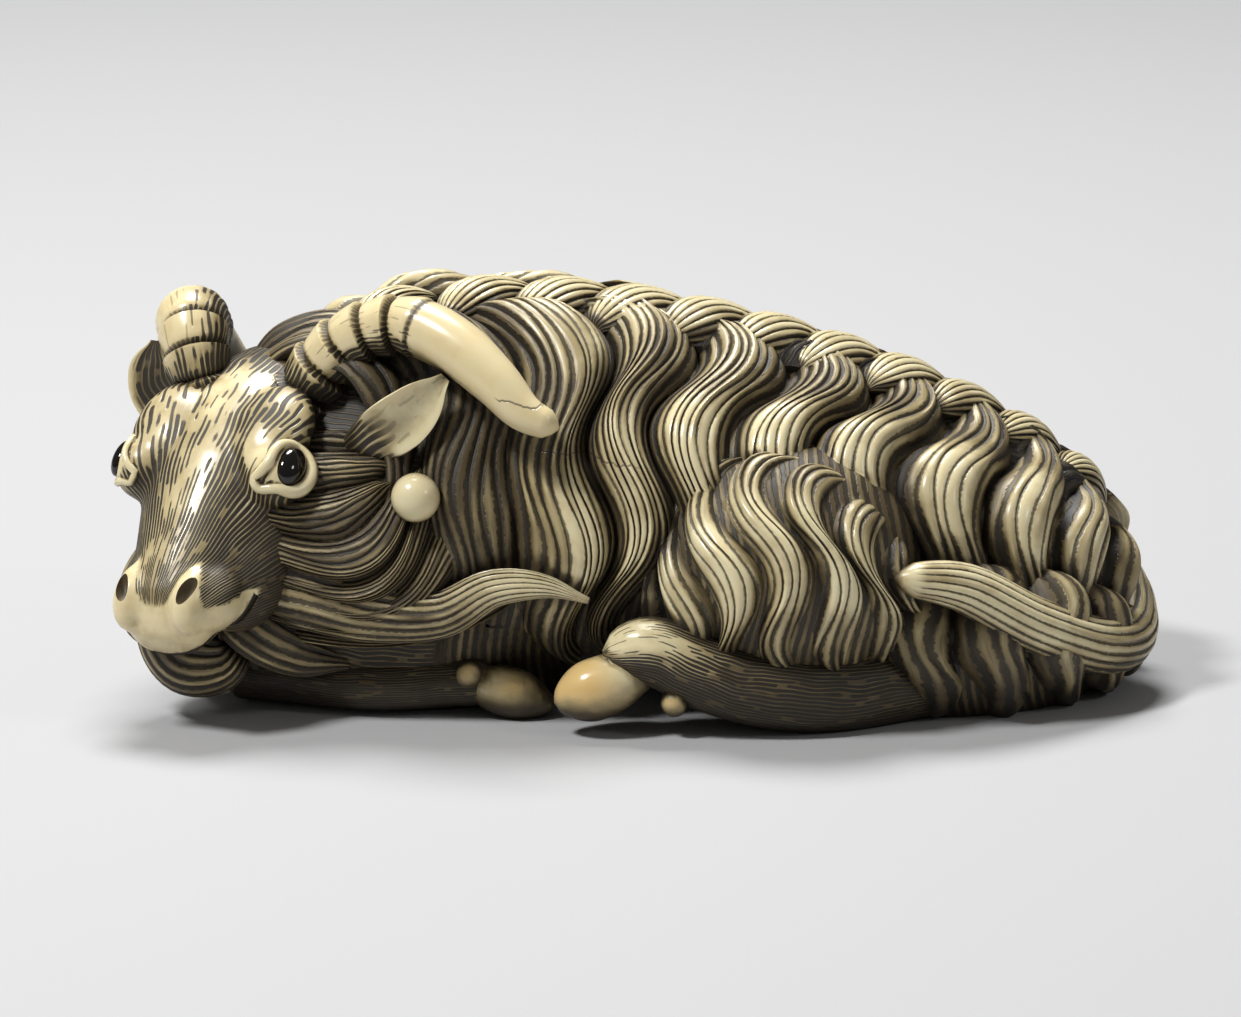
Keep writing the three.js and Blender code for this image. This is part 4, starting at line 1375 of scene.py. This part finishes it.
class NETSUKE_PG_finish(bpy.types.PropertyGroup):
    """The colours of the carving."""

    ivory: FloatVectorProperty(
        name="Ivory", description="Ivory where it is worn pale", subtype="COLOR",
        min=0, max=1, default=(0.81, 0.72, 0.455)
    )
    warm: FloatVectorProperty(
        name="Warm ivory", description="Ivory of the hooves", subtype="COLOR",
        min=0, max=1, default=(0.76, 0.53, 0.22)
    )
    honey: FloatVectorProperty(
        name="Aged ivory", description="Ivory that is half worn", subtype="COLOR",
        min=0, max=1, default=(0.37, 0.29, 0.14)
    )
    tan: FloatVectorProperty(
        name="Deep ivory", description="Ivory that lies deep", subtype="COLOR",
        min=0, max=1, default=(0.092, 0.064, 0.025)
    )
    # The stain colour is also what the painted shade darkens shut places to.
    stain: FloatVectorProperty(
        name="Stain", description="Stain left in the cuts", subtype="COLOR",
        min=0, max=1, default=(0.015, 0.011, 0.006)
    )
    horn: FloatVectorProperty(
        name="Eyes", description="Black horn of the eyes", subtype="COLOR",
        min=0, max=1, default=(0.006, 0.005, 0.004)
    )


class NETSUKE_PG_carving(bpy.types.PropertyGroup):
    """How finely the carving is cut."""

    groove: FloatProperty(
        name="Groove", description="Depth of the cut between two strands, in millimetres",
        min=0.05, max=0.3, default=0.15
    )
    finish: PointerProperty(type=NETSUKE_PG_finish, name="Finish", description="The colours of the carving")


# ---- Pieces ----


LEFT_HORN_WIDTHS = (2.0, 1.85, 1.6, 1.5, 1.5, 1.35, 1.1, 0.65)
RIGHT_HORN_WIDTHS = (1.6, 1.7, 1.85, 1.75, 1.5, 1.2, 0.7)
# How much painted shade each of the near flank's locks takes as stain: most under the horn, some towards the
# rump.
NEAR_PAINTED_SHADE = np.array([1.0, 0.95, 0.15, 0.0, 0.0, 0.0, 0.0, 0.0, 0.1, 0.3, 0.5])  # of the near flank's locks
OPEN = {"open": (2.2, 14), "bare": (12.0, 12)}  # how far rays are cast from each point, and in how many ways
SHARP = 48  # degrees between faces from which an edge is sharp


def coat(groove):
    """All the hair that grows on the body, with strands cut groove deep."""
    near_side = dict(
        strands=FLANK_STRANDS, steps=56, cut=groove, wander=0.18, uneven=0.2, valley=0.3, sink=1.6, seed=1,
    )
    far_side = dict(near_side, strands=FLANK_STRANDS - 4, steps=32, seed=2)
    thigh = dict(near_side, strands=THIGH_STRANDS, steps=44, uneven=0.16, valley=0.25, lift=-0.18, seed=3)
    # The rump's locks under the tail take painted shade as stain.
    low = dict(thigh, strands=4, steps=30, seed=5, stain=0.65, lift=0.45)
    curl = dict(thigh, strands=8, steps=36, cut=0.12, valley=0.1, head=1.0, tail=2.0, sink=1.2, lift=0.1)
    yield flank(trunk, 0, dict(near_side, stain=NEAR_PAINTED_SHADE))
    yield flank(turned_over(trunk), 7, far_side)
    yield haunch(egg(**THIGH), thigh)
    yield haunch(turned_over(egg(**FAR_THIGH)), dict(thigh, strands=THIGH_STRANDS - 2, steps=28, seed=4))
    yield rump(egg(**SEAT), low)
    yield rump(turned_over(egg(**SEAT)), dict(low, strands=3, steps=22, seed=6))
    # The throat and the nape under the head take painted shade as stain.
    yield throat_hair(egg(**THROAT), dict(curl, seed=7, stain=0.7))
    yield mane(egg(**NAPE), dict(curl, seed=8, head=3.0, stain=0.75))
    yield from spine()


def outer_parts():
    """What stands out from the body and the coat."""
    yield horn(LEFT_HORN, LEFT_HORN_WIDTHS, (0, 0, 1), 30)
    yield horn(RIGHT_HORN, RIGHT_HORN_WIDTHS, (-1, 0, 0), 31)
    for k, said in enumerate(EARS):
        yield ear(seed=32 + k, **said)
    yield from neck_parts()
    yield from breast()
    yield from beard()
    yield from legs()
    yield tail()


class NETSUKE_OT_goat(bpy.types.Operator):
    """Carve the goat: its body, coat, head, horns, legs and tail in one piece of ivory"""

    bl_idname = "netsuke.goat"
    bl_label = "Carve the goat"
    bl_options = {"REGISTER", "UNDO"}

    def execute(self, context):
        carving = context.scene.netsuke
        grown = [*coat(carving.groove), *outer_parts()]
        body = blended([body_of(mass, "mass") for mass in masses()], voxel=0.6, rounds=3, name="body")
        say(body.data, *body_finish(points_of(body.data)))
        goat = join([body, head_parts(), *(body_of(part, "part") for part in grown)])
        boolean(goat, body_of(cord_tunnel(), "tunnel"), "DIFFERENCE")
        boolean(goat, body_of(ground(), "ground"), "DIFFERENCE")
        mesh = goat.data
        goat.name = mesh.name = "goat_carving"
        for name, (reach, many) in OPEN.items():
            values = openness(mesh, reach, many).astype(np.float32)
            mesh.attributes.new(name, "FLOAT", "POINT").data.foreach_set("value", values)
        mesh.shade_smooth()
        mesh.set_sharp_from_angle(angle=math.radians(SHARP))
        mesh.materials.clear()
        mesh.materials.append(ivory(carving.finish))
        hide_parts("goat")
        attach(goat, "root")
        return {"FINISHED"}


class NETSUKE_OT_eyes(bpy.types.Operator):
    """Set the two pupils of polished black horn into their sockets"""

    bl_idname = "netsuke.eyes"
    bl_label = "Set the eyes"
    bl_options = {"REGISTER", "UNDO"}

    def execute(self, context):
        material = plain_finish("horn", context.scene.netsuke.finish.horn, 0.07, 1.55)
        for side, name in ((1, "eye_left"), (-1, "eye_right")):
            eye = body_of(pupil(side), name + "_inlay")
            eye.data.shade_smooth()
            eye.data.materials.append(material)
            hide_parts(name)
            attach(eye, "root")
        return {"FINISHED"}


# The table is a sheet of paper that rises behind the goat in a curve. All in metres.
TABLE = dict(half=1.5, front=-1.2, bend=0.6, radius=0.4, top=2.0)
PAPER = (0.485, 0.485, 0.49)
ROOM = dict(colour=(1.0, 0.99, 0.97, 1), strength=0.125)
LIGHTS = [
    # name, place, width across, watts
    ("key", (-0.21, -0.11, 0.35), 0.08, 1.32),
    ("top", (-0.03, 0.17, 0.37), 0.17, 1.65),
    ("side", (0.34, -0.20, 0.26), 0.08, 0.15),
]
LIT = Vector((0, 0, 0.008))  # the point that the lights face
CAMERA = dict(away=0.34, height=15, lens=189.4, sensor=36, shift=0.1366, nearest=0.01, furthest=10)


def table_profile():
    """The table from the front to the top of its wall, as (y, z)."""
    bend, radius = TABLE["bend"], TABLE["radius"]
    turns = np.linspace(0.08, math.pi / 2, 16)
    curve = [(bend + radius * math.sin(turn), radius - radius * math.cos(turn)) for turn in turns]
    return [(TABLE["front"], 0.0), (bend, 0.0), *curve, (bend + radius, TABLE["top"])]


def facing(thing, at, target):
    """Puts a light or the camera at a place, turned to a target."""
    thing.location = at
    thing.rotation_euler = (target - thing.location).to_track_quat("-Z", "Y").to_euler()
    bpy.context.scene.collection.objects.link(thing)


class NETSUKE_OT_stage(bpy.types.Operator):
    """Lay out the pale table, the soft lights and the camera"""

    bl_idname = "netsuke.stage"
    bl_label = "Lay out the stage"
    bl_options = {"REGISTER", "UNDO"}

    def execute(self, context):
        scene = context.scene
        profile = table_profile()
        table = bpy.data.meshes.new("table")
        points = [(x, y, z) for y, z in profile for x in (-TABLE["half"], TABLE["half"])]
        faces = [(2 * k, 2 * k + 1, 2 * k + 3, 2 * k + 2) for k in range(len(profile) - 1)]
        table.from_pydata(points, [], faces)
        table.shade_smooth()
        table.materials.append(plain_finish("paper", PAPER, 0.7))
        floor = bpy.data.objects.new("table", table)
        scene.collection.objects.link(floor)
        floor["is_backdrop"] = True

        world = bpy.data.worlds.new("room")
        scene.world = world
        world.use_nodes = True
        world.node_tree.nodes["Background"].inputs["Color"].default_value = ROOM["colour"]
        world.node_tree.nodes["Background"].inputs["Strength"].default_value = ROOM["strength"]
        for name, at, size, power in LIGHTS:
            light = bpy.data.lights.new(name, "AREA")
            light.shape = "DISK"
            light.size = size
            light.energy = power
            facing(bpy.data.objects.new(name, light), at, LIT)

        lens = bpy.data.cameras.new("camera")
        lens.sensor_width = CAMERA["sensor"]
        lens.lens = CAMERA["lens"]
        lens.shift_y = CAMERA["shift"]
        lens.clip_start = CAMERA["nearest"]
        lens.clip_end = CAMERA["furthest"]
        aim = Vector((SHIFT * MM).tolist())
        high = math.radians(CAMERA["height"])
        away = Vector((0, -math.cos(high), math.sin(high))) * CAMERA["away"]
        scene.camera = bpy.data.objects.new("camera", lens)
        facing(scene.camera, aim + away, aim)
        scene.view_settings.view_transform = "Standard"
        return {"FINISHED"}


class NETSUKE_PT_panel(bpy.types.Panel):
    """The netsuke's pieces and finish"""

    bl_idname = "NETSUKE_PT_panel"
    bl_label = "Netsuke"
    bl_space_type = "VIEW_3D"
    bl_region_type = "UI"
    bl_category = "Netsuke"

    def draw(self, context):
        column = self.layout.column()
        carving = context.scene.netsuke
        column.prop(carving, "groove")
        for name in ("ivory", "warm", "honey", "tan", "stain", "horn"):
            column.prop(carving.finish, name)
        for piece in (NETSUKE_OT_goat, NETSUKE_OT_eyes, NETSUKE_OT_stage):
            column.operator(piece.bl_idname)


CLASSES = (
    NETSUKE_PG_finish,
    NETSUKE_PG_carving,
    NETSUKE_OT_goat,
    NETSUKE_OT_eyes,
    NETSUKE_OT_stage,
    NETSUKE_PT_panel,
)


def register():
    for cls in CLASSES:
        bpy.utils.register_class(cls)
    bpy.types.Scene.netsuke = PointerProperty(type=NETSUKE_PG_carving)


def unregister():
    del bpy.types.Scene.netsuke
    for cls in reversed(CLASSES):
        bpy.utils.unregister_class(cls)


def plain(box):
    return [[float(v) for v in corner] for corner in box]


def main():
    register()
    bpy.ops.netsuke.goat()
    bpy.ops.netsuke.eyes()
    bpy.ops.netsuke.stage()
    {"cad": plain(CAD_BOX), "visual": plain(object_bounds())}


if __name__ == "__main__":
    main()
